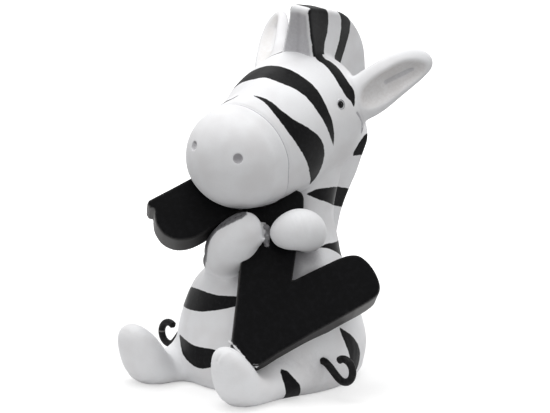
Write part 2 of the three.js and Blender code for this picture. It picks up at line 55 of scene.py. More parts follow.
# Past a seam a piece's skin sinks by this times the squared distance
SEAM, GROOVE_SEAM = 0.5, 0.8
ANIMAL = ("trunk", "head", "muzzle", "crest", "neck_mane", "left_ear", "right_ear", "left_arm",
          "right_arm", "left_leg", "right_leg", "tail")


def vec(*v):
    return np.array(v, float)


def unit(v):
    v = np.asarray(v, float)
    return v / np.linalg.norm(v, axis=-1, keepdims=True)


def smooth(low, high, x):
    t = np.clip((x - low) / (high - low), 0, 1)
    return t * t * (3 - 2 * t)


def hump(x, width):
    """Bell curve of height 1."""
    return np.exp(-((x / width) ** 2))


def smin(a, b, k):
    """Minimum that blends over a difference of k."""
    h = np.maximum(k - np.abs(a - b), 0)
    return np.minimum(a, b) - h * h / (4 * k)


def smax(a, b, k):
    return -smin(-a, -b, k)


def rounded(a, b, r):
    """Intersection of two half spaces with its edge rounded."""
    return np.minimum(np.maximum(a, b), -r) + np.hypot(np.maximum(a + r, 0), np.maximum(b + r, 0))


def cubic(b, c, v0, v1, w):
    """Curve from b to c with slopes v0 and v1, at the share w."""
    return (2 * b - 2 * c + v0 + v1) * w**3 + (-3 * b + 3 * c - 2 * v0 - v1) * w**2 + v0 * w + b


def spline(points, t, mirrored=False):
    """Uniform Catmull-Rom curve through the points at shares t, with its slope."""
    points = np.asarray(points, float)
    n = len(points) - 1
    first = 2 * points[0] - points[1] if mirrored else points[0]
    last = 2 * points[-1] - points[-2] if mirrored else points[-1]
    padded = np.concatenate([[first], points, [last]])
    place = np.clip(np.asarray(t, float), 0, 1) * n
    i = np.minimum(place.astype(int), n - 1)
    w = (place - i)[:, None]
    a, b, c, d = (padded[i + k] for k in range(4))
    v0, v1 = (c - a) / 2, (d - b) / 2
    slope = 3 * (2 * b - 2 * c + v0 + v1) * w**2 + 2 * (-3 * b + 3 * c - 2 * v0 - v1) * w + v0
    return cubic(b, c, v0, v1, w), slope


def bent(points, steps):
    """Centripetal Catmull-Rom curve through the points."""
    points = [np.asarray(p, float) for p in points]
    padded = [2 * points[0] - points[1], *points, 2 * points[-1] - points[-2]]
    path = []
    for a, b, c, d in zip(padded, padded[1:], padded[2:], padded[3:]):
        t0, t1, t2 = (np.sqrt(np.linalg.norm(v - u)) for u, v in ((a, b), (b, c), (c, d)))
        m0 = ((b - a) / t0 - (c - a) / (t0 + t1) + (c - b) / t1) * t1
        m1 = ((c - b) / t1 - (d - b) / (t1 + t2) + (d - c) / t2) * t1
        path += [cubic(b, c, m0, m1, w) for w in np.arange(steps) / steps]
    return np.array([*path, points[-1]])


def stroke(rows, p, count=26):
    """Signed distance to a brush stroke through rows of (place, half width)."""
    fine, _ = spline(rows, np.linspace(0, 1, count))
    found = np.full(len(p), FAR)
    low, high = fine[:, :-1].min(0) - 5, fine[:, :-1].max(0) + 5
    close = ((p > low) & (p < high)).all(1)
    q = p[close]
    best = np.full(len(q), FAR)
    for a, b in zip(fine[:-1], fine[1:]):
        way = b[:-1] - a[:-1]
        r = q - a[:-1]
        t = np.clip(r @ way / max(way @ way, 1e-9), 0, 1)
        half = a[-1] + t * (b[-1] - a[-1])
        best = np.minimum(best, np.linalg.norm(r - t[:, None] * way, axis=1) - half)
    found[close] = best
    return found


def thin_line(points, p):
    """Distance to a smooth line through the points."""
    return stroke([(*point, 0.0) for point in points], p, 12)


def polygon(x, y, corners):
    """Signed distance to a polygon, negative inside."""
    best = np.full(len(x), 1e9)
    inside = np.ones(len(x))
    for (ax, ay), (bx, by) in zip(corners, np.roll(corners, 1, 0)):
        ex, ey = bx - ax, by - ay
        wx, wy = x - ax, y - ay
        t = np.clip((wx * ex + wy * ey) / max(ex * ex + ey * ey, 1e-12), 0, 1)
        best = np.minimum(best, (wx - ex * t) ** 2 + (wy - ey * t) ** 2)
        crosses = (y >= ay) & (y < by) & (ex * wy > ey * wx)
        crosses |= (y < ay) & (y >= by) & (ex * wy < ey * wx)
        inside = np.where(crosses, -inside, inside)
    return inside * np.sqrt(best)


def wave_set(seed, low, high, count=9):
    """Plane waves of low to high radians per millimetre, with their phases."""
    rng = np.random.default_rng(seed)
    return [(unit(rng.normal(size=3)) * rng.uniform(low, high), rng.uniform(0, 6.28))
            for _ in range(count)]


SLOW_WAVES = wave_set(7, 0.5, 1.3)
ROUGH_WAVES = wave_set(11, 2.2, 5.5)


def waves(p, rows):
    return sum(np.sin(p @ k + phase) for k, phase in rows) / len(rows)


# Head frame
TILT, TURN, DROOP = np.radians((10, 13, 14.6))
SKULL_AT = vec(-1.2, 7.0, 50.6)
SKULL_RADIUS, MUZZLE_RADIUS, HEAD_LENGTH, HEAD_BULGE = 12.9, 9.8, 21.9, 0.9
TAPER = (SKULL_RADIUS - MUZZLE_RADIUS) / HEAD_LENGTH
about_z = np.array([[np.cos(TURN), -np.sin(TURN), 0], [np.sin(TURN), np.cos(TURN), 0], [0, 0, 1]])
about_y = np.array([[np.cos(TILT), 0, np.sin(TILT)], [0, 1, 0], [-np.sin(TILT), 0, np.cos(TILT)]])
HEAD = about_z @ about_y
FORE = vec(0, -np.cos(DROOP), -np.sin(DROOP))
OVER = vec(0, -np.sin(DROOP), np.cos(DROOP))

# The groove that parts the muzzle from the face, and the face's lower skin behind it
GROOVE_AT = HEAD_LENGTH - 2.1
GROOVE_LEAN = 0.085 * (0.966 * OVER - 0.259 * vec(1, 0, 0))
GROOVE_DEPTH, GROOVE_WIDTH = 0.26, 0.34
FACE_DROP, FACE_DROP_WIDTH = 0.14, 2.5

# Far-side hollow between brow and muzzle, and the near jaw's fullness: place along the head, width, turn
HOLLOW_AT, HOLLOW_BEHIND, HOLLOW_AHEAD, HOLLOW_DEPTH, HOLLOW_TURN = 14.3, 5.8, 5.0, 1.7, -60
JAW_AT, JAW_WIDTH, JAW_TURN = 20.3, 5.0, 152


def toward(q, degrees):
    """Cosine between a point's direction off the head's length and one turned from its top."""
    turn = np.radians(degrees)
    over = q @ OVER
    return (np.cos(turn) * over + np.sin(turn) * q[..., 0]) / (np.hypot(over, q[..., 0]) + 1e-6)


def past_groove(q):
    """Distance ahead of the slightly tilted groove."""
    return q @ (FORE - GROOVE_LEAN) - GROOVE_AT


def in_head(p):
    return (p - SKULL_AT) @ HEAD


def from_head(q):
    return np.asarray(q, float) @ HEAD.T + SKULL_AT


def egg(q):
    """Distance to the skull and muzzle balls with the full cone between them."""
    s = q @ FORE
    rho = np.sqrt(np.maximum((q * q).sum(-1) - s * s, 0))
    a = np.sqrt(1 - TAPER * TAPER)
    k = a * s - TAPER * rho
    skull = np.hypot(rho, s) - SKULL_RADIUS
    muzzle = np.hypot(rho, s - HEAD_LENGTH) - MUZZLE_RADIUS
    cone = a * rho + TAPER * s - SKULL_RADIUS
    share = np.clip(k / (a * HEAD_LENGTH), 0, 1)
    cone = cone - HEAD_BULGE * np.sin(np.pi * share) ** 2
    d = np.where(k < 0, skull, np.where(k > a * HEAD_LENGTH, muzzle, cone))
    hollow = hump(s - HOLLOW_AT, np.where(s < HOLLOW_AT, HOLLOW_BEHIND, HOLLOW_AHEAD))
    d = d + HOLLOW_DEPTH * hollow * smooth(0.5, 0.9, toward(q, HOLLOW_TURN))
    return d - hump(s - JAW_AT, JAW_WIDTH) * smooth(0.6, 0.97, toward(q, JAW_TURN))


# Eyes: each in a dish that a ball set a little out from the skull leaves
EYE_FORE, EYE_RISE, EYE_OUT, DISH_RADIUS = 4.2, 5.25, 0.3, 1.0


def eye_axis(side):
    across = np.sqrt(SKULL_RADIUS**2 - EYE_FORE**2 - EYE_RISE**2)
    return unit(vec(side * across, -EYE_FORE, EYE_RISE))


# Nostrils: dimples of a ball set a little out from the skin
NOSTRIL_RADIUS, NOSTRIL_RISE, NOSTRIL_OUT = 0.84, 1.8, 0.12


def nostril_at(across):
    ahead = np.sqrt(MUZZLE_RADIUS**2 - across * across - NOSTRIL_RISE**2)
    out = unit(vec(across, -ahead, NOSTRIL_RISE))
    return FORE * HEAD_LENGTH + out * (MUZZLE_RADIUS + NOSTRIL_OUT)


NOSTRILS = [nostril_at(5.2), nostril_at(-4.5)]


def nostril_depth(q):
    return NOSTRIL_RADIUS - np.minimum.reduce([np.linalg.norm(q - at, axis=-1) for at in NOSTRILS])


def head_form(p):
    q = in_head(p)
    along = past_groove(q)
    d = egg(q) + GROOVE_DEPTH * hump(along, GROOVE_WIDTH)
    d = d + FACE_DROP * smooth(0.3, -0.3, along) * hump(along, FACE_DROP_WIDTH)
    for side in (1, -1):
        away = np.linalg.norm(q - eye_axis(side) * (SKULL_RADIUS + EYE_OUT), axis=-1)
        d = smax(d, DISH_RADIUS - away, 0.2)
    return smax(d, nostril_depth(q), 0.12)


# Trunk: rows of (height, radius, y of the centre)
SECTIONS = [(0, 16.7, -2.3), (2.4, 17.9, -2.1), (7.5, HIP_RADIUS, HIPS_Y), (14, 17.3, -2.2),
            (19, 15.4, -1.6), (23.2, 12.5, 0.0), (27, 9.9, 2.4), (32, 8.2, 3.6), (38.5, 8.0, 5.6),
            (50.6, 8.0, 8.0)]
LEVELS = np.array([s[0] for s in SECTIONS], float)
# Sloping walls, whose distances are scaled to stay below the true ones
SLOPED = 0.9


def trunk_at(height):
    height = np.clip(height, 0, LEVELS[-1])
    index = np.interp(height, LEVELS, np.arange(len(LEVELS)))
    value, _ = spline([s[1:] for s in SECTIONS], index / (len(LEVELS) - 1))
    return value[:, 0], value[:, 1]


def trunk_form(p):
    radius, y = trunk_at(p[:, 2])
    side = (np.hypot(p[:, 0], p[:, 1] - y) - radius) * SLOPED
    return np.maximum(side, p[:, 2] - LEVELS[-1])


def swept(stations, across, bluntness):
    """Form and box of a round-ended limb through stations of (place, half width, half depth)."""
    steps = 40
    i = np.arange(steps + 1)
    reach = -np.cos(np.pi * i / steps)
    share = (reach + 1) / 2
    centre, slope = spline([s[0] for s in stations], share, mirrored=True)
    size, _ = spline([s[1:] for s in stations], share)
    closing = np.maximum(1 - np.abs(reach) ** bluntness, 0) ** (1 / bluntness)
    size = size * closing[:, None]
    tangent = unit(slope)
    side = unit(np.asarray(across, float) - (tangent @ across)[:, None] * tangent)
    other = np.cross(tangent, side)

    def form(p):
        best = np.full(len(p), 1e3)
        for j in range(steps):
            leg = centre[j + 1] - centre[j]
            r = p - centre[j]
            t = np.clip(r @ leg / (leg @ leg), 0, 1)
            r = r - t[:, None] * leg
            w = size[j, 0] + t * (size[j + 1, 0] - size[j, 0]) + 1e-3
            d = size[j, 1] + t * (size[j + 1, 1] - size[j, 1]) + 1e-3
            e = 0.5 * np.minimum(w, d) + 0.15
            a, b, c = r @ side[j], r @ other[j], r @ tangent[j]
            k0 = np.sqrt((a / w) ** 2 + (b / d) ** 2 + (c / e) ** 2)
            k1 = np.sqrt((a / w**2) ** 2 + (b / d**2) ** 2 + (c / e**2) ** 2) + 1e-9
            best = np.minimum(best, np.where(k0 < 1e-3, -np.minimum(w, d), k0 * (k0 - 1) / k1))
        return best

    reach_out = size.max(1)[:, None] + 0.3
    return form, (centre - reach_out).min(0), (centre + reach_out).max(0)


# Letter frame and outline
LETTER_AT = vec(8.8, -12.8, 28.4)
letter_x = unit(vec(0.388, 0.826, 0.41))
letter_y = vec(-0.631, -0.087, 0.77)
letter_y = unit(letter_y - (letter_y @ letter_x) * letter_x)
LETTER = np.stack([letter_x, letter_y, np.cross(letter_x, letter_y)], 1)
LETTER_DEPTH, LETTER_ROUND = 7.0, 0.45
LETTER_HALF = vec(16.2, 19.8, LETTER_DEPTH / 2)


def in_letter(p):
    return (p - LETTER_AT) @ LETTER


def on_letter(*v):
    return LETTER @ vec(*v) + LETTER_AT


def letter_path(rows):
    """Stroke rows in the figure's coordinates from (letter x, y, out, half width)."""
    return [(*on_letter(*r[:3]), r[3]) for r in rows]


def letter_outline():
    end = bent([(9.2, -8.8), (11.2, -8.95), (13.2, -9.35), (14.75, -10.3), (15.55, -12.0), (15.85, -14.1),
                (15.6, -16.3), (15.0, -17.8), (14.0, -18.7), (12.5, -19.05), (10.0, -19.2)], 4)
    lobe = bent([(-5.0, 8.15), (-6.6, 8.0), (-9.1, 7.8), (-11.6, 8.05), (-13.9, 9.15), (-15.35, 11.2),
                 (-15.6, 13.2), (-15.4, 14.6), (-14.9, 15.8)], 4)
    return np.concatenate([
        [(-14.5, 18.55), (11.0, 18.6), (11.0, 6.9), (11.5, 6.4), (11.8, 5.6), (11.65, 4.8), (10.7, 3.2),
         (1.2, -8.4)], end, [(-1.3, -19.15), (-8.3, -19.25), (-11.2, -19.5), (-12.9, -19.5), (-13.9, -18.8),
                             (-14.3, -17.3), (-14.6, -13.0), (1.2, 8.4)], lobe,
        [(-14.45, 16.6), (-15.1, 17.1), (-15.15, 18.1)]])


OUTLINE = letter_outline()


def letter_form(p):
    q = in_letter(p)
    flat = polygon(q[:, 0], q[:, 1], OUTLINE)
    thick = np.abs(q[:, 2] + LETTER_DEPTH / 2) - LETTER_DEPTH / 2
    return rounded(flat, thick, LETTER_ROUND)


# Limbs: leg rows are (in from the hip's side, ahead of the hips, height, half width, half depth)
SHOULDERS = vec(0, 0.2, 23.2)
LEG_ROWS = [(11.6, -6.0, 6.2, 8.6, 6.4), (9.2, 3.5, 5.6, 9.0, 5.9), (7.2, 11.5, 3.4, 6.3, 4.0),
            (5.9, 17.5, 2.8, 4.7, 3.4), (5.7, 21.2, 3.8, 4.8, 4.1), (5.4, 23.6, 7.1, 5.0, 3.9),
            (5.1, 25.7, 11.4, 5.0, 3.6)]
SOLE_BELOW = 4.5


def leg(side):
    """Form and box of a leg. The right one is fuller toward the middle and at its sole."""
    fuller = 0.7 if side < 0 else 0.0
    stations = []
    for inset, fore, height, width, depth in LEG_ROWS:
        height -= 0.7 * fuller * (height < SOLE_BELOW)
        place = vec(side * (HIP_RADIUS - inset) + fuller, HIPS_Y - fore, height)
        stations.append((place, width + fuller, depth))
    return swept(stations, vec(1, 0, 0), 3)


def arm(root, rest):
    """Form and box of an arm from the shoulders to a paw on the letter."""
    across, fore, rise, girth = root
    stations = [(vec(across, SHOULDERS[1] - fore, SHOULDERS[2] + rise), girth, girth)]
    stations += [(on_letter(*r[:3]), r[3], r[3]) for r in rest]
    return swept(stations, letter_y, 2.6)


def joined(parts, more, k):
    """A limb with another form blended to it, in the limb's box."""
    form, low, high = parts
    return (lambda p: smin(form(p), more(p), k)), low, high


def bead(rows, roughness):
    """Form of a rough bead of cast material along rows on the letter."""
    path = letter_path(rows)
    return lambda p: stroke(path, p, 12) + roughness * waves(p, ROUGH_WAVES)


def ball(centre, radius):
    return lambda p: np.linalg.norm(p - centre, axis=1) - radius


EAR_LENGTH, EAR_SUNK = 19.6, 2.1
# Rows of (share of the length, width, bow to the side)
LEAF = [(-0.12, 1.05, 0.9), (0.2, 1.01, 0.45), (0.5, 0.9, -0.4), (0.78, 0.815, -0.8), (1.0, 0.7, 0.0)]


def ear(side):
    """Form and box of an ear, with the form that hollows it and the ridge of the fold in it."""
    mirror = vec(side, 1, 1)
    root = unit(vec(9.6, 1.0, 4.8)) * (SKULL_RADIUS - EAR_SUNK) * mirror
    reach = unit(vec(7.6, 13.6, 7.9) if side > 0 else vec(6.9, 13.6, 9.8)) * EAR_LENGTH * mirror
    opens = vec(0.55, -0.72, 0.1) * mirror
    opens = unit(opens - (opens @ reach) / (reach @ reach) * reach)
    across = unit(np.cross(reach, opens))
    if side < 0:
        opens = unit(opens + 0.2 * across)
        across = unit(np.cross(reach, opens))

    def stations(rows, thickness, narrower=0, forward=0, back=0):
        return [(from_head(root + reach * (a - back / EAR_LENGTH) + opens * forward + across * c),
                 s * 4.8 - narrower, thickness / 2) for a, s, c in rows]

    outer, low, high = swept(stations(LEAF, 4.6), HEAD @ across, 2.6)
    dish = [(a, s, c + 0.75) for a, s, c in LEAF[1:]]
    hollow, _, _ = swept(stations(dish, 4.7, narrower=1.6, forward=2.5, back=1.9), HEAD @ across, 2.4)
    fold = [(*from_head(root + reach * a - opens * 0.1 - across * 0.2), 0.0) for a in (0.46, 0.6, 0.78)]

    def form(p):
        return smax(outer(p), -hollow(p), 0.9) + 0.45 * hump(stroke(fold, p, 8), 0.6)

    return form, low, high, hollow, fold


# Crest: outline in the head's (fore and aft, height) plane, from the brow over the crown to the nape
CREST_TOP, CREST_BROW, CREST_ROUND = vec(-6.3, 22.4), vec(-1.9, 9.0), 2.4
CREST_AT, CREST_RADIUS = vec(0.5, 0.8), SKULL_RADIUS + 7.7
CREST_FROM, CREST_TO = 2.2, 2.5


def crest_outline():
    turns = np.linspace(np.arcsin(CREST_FROM / CREST_RADIUS), np.arccos(CREST_TO / CREST_RADIUS), 26)
    arc = CREST_AT + np.stack([CREST_RADIUS * np.cos(turns) + 0.7 * np.sin(2 * turns),
                               CREST_RADIUS * np.sin(turns)], 1)
    start = CREST_TOP + unit(arc[-1] - CREST_TOP) * CREST_ROUND
    end = CREST_TOP + unit(CREST_BROW - CREST_TOP) * CREST_ROUND
    t = np.linspace(0, 1, 8)[:, None]
    corner = start * (1 - t) ** 2 + CREST_TOP * 2 * t * (1 - t) + end * t * t
    return np.concatenate([[(0, 3)], arc, corner, [CREST_BROW]])


CREST_OUTLINE = crest_outline()


def before_crest(q):
    """Distance in front of the crest's front edge, negative behind it."""
    down = unit(CREST_BROW - CREST_TOP)
    return (q[:, 1:] - CREST_TOP) @ vec(down[1], -down[0])


def off_crest(q):
    """Distance outside the crest's flanks, which spread toward the foot of its front, and from its middle."""
    front, low = smooth(6, -2, q[:, 1]), smooth(21.5, 9, q[:, 2])
    near_side = 2.3 + front * (1.1 * low - 0.5)
    far_side = 2.4 + front * (0.5 + 2.2 * low)
    x = q[:, 0] - (near_side - far_side) / 2
    return np.abs(x) - (near_side + far_side) / 2, x


def crest_form(p):
    q = in_head(p)
    flank, x = off_crest(q)
    d = rounded(polygon(q[:, 1], q[:, 2], CREST_OUTLINE), flank, 1.0)
    dent = hump(x, 1.0) * hump(before_crest(q), 1.2)
    return d + 0.2 * dent * smooth(21.5, 19.5, q[:, 2])


# Mane on the neck, up to the heel of the crest
HEEL = from_head(vec(0, *CREST_AT) + vec(0, np.sqrt(CREST_RADIUS**2 - CREST_FROM**2), CREST_FROM))
RIDGE_FOOT, RIDGE_HALF, RIDGE_OVER = 19.5, 2.4, 4.8


def ridge_form(p):
    z = p[:, 2]
    radius, y = trunk_at(z)
    share = np.clip((z - RIDGE_FOOT) / (HEEL[2] - RIDGE_FOOT), 0, 1)
    back = y + radius + (HEEL[1] - y - radius) * share**1.25
    bend = HEEL[0] * smooth(43.5, HEEL[2], z)
    d = rounded(np.abs(p[:, 0] - bend) - RIDGE_HALF, (p[:, 1] - back) * SLOPED, 0.8)
    d = np.maximum(d, y - 3 - p[:, 1])
    return rounded(np.maximum(d, RIDGE_FOOT - z), z - HEEL[2] - RIDGE_OVER, 0.8)


RUMP = HIPS_Y + HIP_RADIUS
TAIL_ROWS = [(0, -3.2, 12.0, 1.7), (0, 0.7, 9.6, 1.5), (-1.6, 1.7, 5.6, 1.6), (-5.4, 1.0, 2.8, 2.3),
             (-10.6, -1.2, 1.8, 1.4)]
EARS = {name: ear(side) for name, side in (("left_ear", 1), ("right_ear", -1))}
# Arms: the root is (across, ahead of the shoulders, over them, half width), the rest lies on the letter
LEFT_ROOT, RIGHT_ROOT = (7.0, -0.8, 4.8, 3.9), (-2.8, 9.4, -0.8, 4.5)
LEFT_REST = [(8.9, -1.2, -1.8, 3.9), (6.7, -1.0, 2.7, 4.1), (2.0, 0.1, 2.5, 4.1)]
RIGHT_REST = [(-5.4, 3.7, -6.7, 4.6), (-4.2, 3.6, -1.0, 4.65), (-0.4, 4.5, 4.2, 4.55)]
ELBOW_AT, ELBOW_RADIUS = vec(-5.6, -11.6, 23.3), 2.5
# Edge of the letter's paint on the right paw, and beads on the left one and on the foot, in letter x and y
SMEAR = np.array([(-10.6, 3.2), (-10.0, 4.3), (-9.5, 5.1), (-8.9, 5.9), (-8.0, 6.5), (-6.7, 6.8), (-5.3, 6.5),
                  (-3.9, 6.2), (-2.1, 5.8), (-0.8, 6.0), (0.3, 8.0)])
PAW_WEB = [(2.2, 3.7, 0.0, 0.55), (1.9, 2.4, 0.2, 0.8), (1.3, 1.1, 0.2, 0.75), (0.7, 0.0, 0.0, 0.5)]
FOOT_LIP = [(-14.9, -12.6, -1.4, 0.2), (-14.6, -14.2, -0.6, 0.3), (-14.3, -16.4, -0.4, 0.3),
            (-14.1, -18.2, -0.5, 0.3), (-13.2, -19.4, -0.7, 0.25), (-11.8, -19.8, -1.2, 0.2)]
FORMS = {
    "trunk": (trunk_form, vec(-19, -22, 0), vec(19, 19, 51)),
    "head": (head_form, from_head([-13, -32, -17]) - 6, from_head([13, 13, 13]) + 8),
    "crest": (crest_form, vec(-14, -8, 48), vec(14, 32, 74)),
    "neck_mane": (ridge_form, vec(-9, -1, 19), vec(3.5, 30, 64)),
    "left_ear": EARS["left_ear"][:3],
    "right_ear": EARS["right_ear"][:3],
    "left_arm": joined(arm(LEFT_ROOT, LEFT_REST), bead(PAW_WEB, 0.5), 0.4),
    "right_arm": joined(arm(RIGHT_ROOT, RIGHT_REST), ball(ELBOW_AT, ELBOW_RADIUS), 3.5),
    "left_leg": joined(leg(1), bead(FOOT_LIP, 0.4), 0.4),
    "right_leg": leg(-1),
    "tail": swept([(vec(a, RUMP + b, c), d, d) for a, b, c, d in TAIL_ROWS], vec(0, 0, 1), 2.6),
}

# Creases and flash lines of the casting: points, width, and depth, which is below zero for a bead
JAW_CREASE = [(11.2, 10.1, 51.8), (10.9, 11.3, 50.5), (10.3, 12.5, 49.0), (9.7, 13.1, 48.0)]
JAW_NICK, NICK_RADIUS = vec(9.7, 13.4, 47.9), 0.55
CREASES = [([(13.0, -29.1, 9.6), (13.4, -28.8, 10.5), (14.0, -27.6, 11.4)], 0.32, 0.2),
           ([(12.4, -27.6, 11.5), (13.4, -27.2, 11.7), (14.6, -26.6, 11.6)], 0.35, 0.16),
           ([(14.0, -29.4, 9.8), (14.3, -28.9, 10.7), (14.9, -27.8, 11.4)], 0.4, -0.16),
           ([(-14.8, -27.4, 11.0), (-13.4, -26.7, 11.8), (-11.6, -26.7, 11.6), (-10.4, -27.2, 11.2)],
            0.35, -0.18),
           ([(-13.8, -28.4, 10.7), (-12.6, -28.6, 10.8), (-11.8, -28.8, 10.4)], 0.3, 0.14),
           (JAW_CREASE, 0.3, 0.2)]
# How softly the forms run into the trunk and into the head
TORSO_BLENDS = {"left_leg": 5.0, "right_leg": 2.6, "left_arm": 1.0, "right_arm": 1.8, "tail": 0.9,
                "neck_mane": 0.9}
SKULL_BLENDS = {"left_ear": 1.5, "right_ear": 1.5, "crest": 0.8}
NECK_BLEND, BASE_ROUND = 1.3, 0.8
# The skin's hand-made waves, and how far it is sunk so that they stay within the solid
WAVE, SUNK = 0.1, 0.06


def near(name, p):
    """Distance to one form, or to its box where that is far."""
    form, low, high = FORMS[name]
    away = np.linalg.norm(np.maximum(np.maximum(low - p, p - high), 0), axis=-1)
    close = away < 5
    d = away.copy()
    d[close] = form(p[close])
    return d


def animal(p, names):
    """Every form's own distance, and the one blended skin of the animal."""
    d = {n: near(n, p) for n in names}

    def blended(core, blends):
        found = d.get(core, np.full(len(p), FAR))
        for n, k in blends.items():
            if n in d:
                found = smin(found, d[n], k)
        return found

    whole = smin(blended("trunk", TORSO_BLENDS), blended("head", SKULL_BLENDS), NECK_BLEND)
    whole = whole + WAVE * waves(p, SLOW_WAVES) + SUNK
    for points, width, depth in CREASES:
        whole = whole + depth * hump(thin_line(points, p), width)
    whole = smax(whole, -ball(JAW_NICK, NICK_RADIUS)(p), 0.2)
    return d, smax(whole, -p[:, 2], BASE_ROUND)


def net(field, low, high, step):
    """Closed mesh of a field's zero surface, asked coarsely first: a vertex for each crossed cell."""
    coarse, margin = 4, 1.3
    block = np.ones((coarse,) * 3, bool)
    big = step * coarse
    count = np.ceil((high - low) / big).astype(int) + 1
    axes = [low[k] + big * np.arange(count[k]) for k in range(3)]
    grid = np.stack(np.meshgrid(*axes, indexing="ij"), -1)
    value = field(grid.reshape(-1, 3)).reshape(count)
    corners = [value[i:count[0] - 1 + i, j:count[1] - 1 + j, k:count[2] - 1 + k]
               for i, j, k in np.ndindex(2, 2, 2)]
    lowest, highest = np.minimum.reduce(corners), np.maximum.reduce(corners)
    busy = (lowest < big * margin) & (highest > -big * margin)
    fine = (count - 1) * coarse + 1
    dense = np.kron(value, block)[:fine[0], :fine[1], :fine[2]].copy()
    asked = np.zeros(fine, bool)
    cells = np.kron(busy, block)
    for i, j, k in np.ndindex(2, 2, 2):
        asked[i:fine[0] - 1 + i, j:fine[1] - 1 + j, k:fine[2] - 1 + k] |= cells
    where = np.argwhere(asked)
    dense[asked] = field(low + step * where)
    for axis in range(3):
        edge = [slice(None)] * 3
        for end in (0, -1):
            edge[axis] = end
            dense[tuple(edge)] = np.maximum(dense[tuple(edge)], 0.01)
    inside = dense < 0
    shape = np.array(fine) - 1
    total = int(np.prod(shape))
    weight = np.zeros(total)
    place = np.zeros((total, 3))
    quads = []
    for axis in range(3):
        u, v = (axis + 1) % 3, (axis + 2) % 3
        a = [slice(None)] * 3
        b = [slice(None)] * 3
        a[axis], b[axis] = slice(None, -1), slice(1, None)
        cut = inside[tuple(a)] != inside[tuple(b)]
        at = np.argwhere(cut)
        fa, fb = dense[tuple(a)][cut], dense[tuple(b)][cut]
        point = at.astype(float)
        point[:, axis] += fa / (fa - fb)
        ring = []
        for du, dv in ((1, 1), (0, 1), (0, 0), (1, 0)):
            cell = at.copy()
            cell[:, u] -= du
            cell[:, v] -= dv
            flat = (cell[:, 0] * shape[1] + cell[:, 1]) * shape[2] + cell[:, 2]
            ring.append(flat)
            np.add.at(weight, flat, 1)
            np.add.at(place, flat, point)
        ring = np.stack(ring, 1)
        out = fa < fb
        ring[~out] = ring[~out][:, ::-1]
        quads.append(ring)
    quads = np.concatenate(quads)
    used = np.unique(quads)
    index = np.full(total, -1)
    index[used] = np.arange(len(used))
    verts = low + step * place[used] / weight[used][:, None]
    return verts, index[quads]


def settle(field, verts, faces, step):
    """Moves the vertices onto the surface and evens them out."""
    corners = np.array([(1, 1, 1), (1, -1, -1), (-1, 1, -1), (-1, -1, 1)], float)
    e, evened = 0.05, 0.6
    edges = np.concatenate([faces[:, [k, (k + 1) % 4]] for k in range(4)])
    degree = np.bincount(edges.ravel(), minlength=len(verts))
    for turn in range(2):
        f = [field(verts + e * c) for c in corners]
        slope = sum(v[:, None] * c for v, c in zip(f, corners)) / (4 * e)
        size = (slope * slope).sum(1)
        move = (sum(f) / 4 / np.maximum(size, 0.05))[:, None] * slope
        length = np.linalg.norm(move, axis=1, keepdims=True)
        verts = verts - move * np.minimum(1, 0.5 * step / np.maximum(length, 1e-9))
        if turn == 0:
            mean = np.stack([np.bincount(edges[:, 0], verts[edges[:, 1], k], len(verts))
                             + np.bincount(edges[:, 1], verts[edges[:, 0], k], len(verts))
                             for k in range(3)], 1) / degree[:, None]
            verts = verts * (1 - evened) + mean * evened
    return verts


def piece_object(name, node, verts, faces, attributes, material):
    """Makes the object of a mesh in millimetres that stands for a node of the frame."""
    mesh = bpy.data.meshes.new(name)
    world = (verts + vec(0, SHIFT_Y, 0)) * MM
    mesh.from_pydata(world.tolist(), [], faces.tolist() if isinstance(faces, np.ndarray) else faces)
    mesh.validate()
    mesh.shade_smooth()
    for key, values in attributes.items():
        made = mesh.attributes.new(key, "FLOAT", "POINT")
        made.data.foreach_set("value", np.asarray(values, np.float32))
    mesh.materials.append(material)
    obj = bpy.data.objects.new(name, mesh)
    bpy.context.scene.collection.objects.link(obj)
    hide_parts(node)
    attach(obj, "root")


# Stripes: brush strokes of (place, half width), laid on the surface. A place on the head is (distance
# along its length, degrees from its top), one on the trunk (degrees from the front, height)
def on_head(s, degrees):
    turn = np.radians(degrees)
    out = np.sin(turn) * vec(1, 0, 0) + np.cos(turn) * OVER
    r = SKULL_RADIUS
    for _ in range(12):
        r -= float(egg(FORE * s + r * out))
    return from_head(FORE * s + r * out)


def on_trunk(degrees, height):
    radius, y = trunk_at(np.array([height], float))
    turn = np.radians(degrees)
    direction = vec(np.sin(turn), -np.cos(turn))
    start = vec(0, HIPS_Y - y[0])
    along = start @ direction
    out = -along + np.sqrt(max(radius[0] ** 2 - start @ start + along * along, 0))
    return vec(out * direction[0], HIPS_Y + out * direction[1], height)


BROW = [(9.3, -76, 0.1), (8.9, -62, 1.1), (8.5, -47, 1.8), (8.35, -34, 2.15), (8.4, -22, 2.5),
        (8.9, -9, 2.75), (9.0, 2, 2.75), (8.9, 13, 2.65), (8.5, 25, 2.25), (8.15, 40, 1.9),
        (8.2, 56, 1.5), (7.9, 70, 1.1), (7.6, 82, 0.7), (7.35, 92, 0.1)]
JAW_END = [(15.3, 70, 2.2), (13.75, 83, 2.6), (13.0, 92, 2.45), (12.4, 103, 2.0), (11.6, 115, 1.3),
           (10.7, 128, 0.5), (10.4, 132, 0.1)]
NEAR_TEARDROP = [(17.5, 4, 0.15), (17.4, 21, 0.55), (17.6, 37, 0.9), (16.9, 55, 1.5), *JAW_END]
FAR_TEARDROP = [(17.0, -15.5, 0.1), (17.4, -20, 0.35), (17.8, -26, 0.55), (17.8, -40, 1.0), (16.9, -56, 1.5),
                *((s, -a, w) for s, a, w in JAW_END)]
BEHIND_EYE = [(-2.4, 8, 1.5), (-1.9, 14, 1.2), (-1.5, 18, 1.05), (-1.83, 25, 1.35), (-1.55, 34, 1.5),
              (-0.87, 46, 1.45), (-0.85, 55, 1.45), (-0.95, 61, 0.85), (-0.7, 66, 0.4), (-0.5, 69, 0.1)]
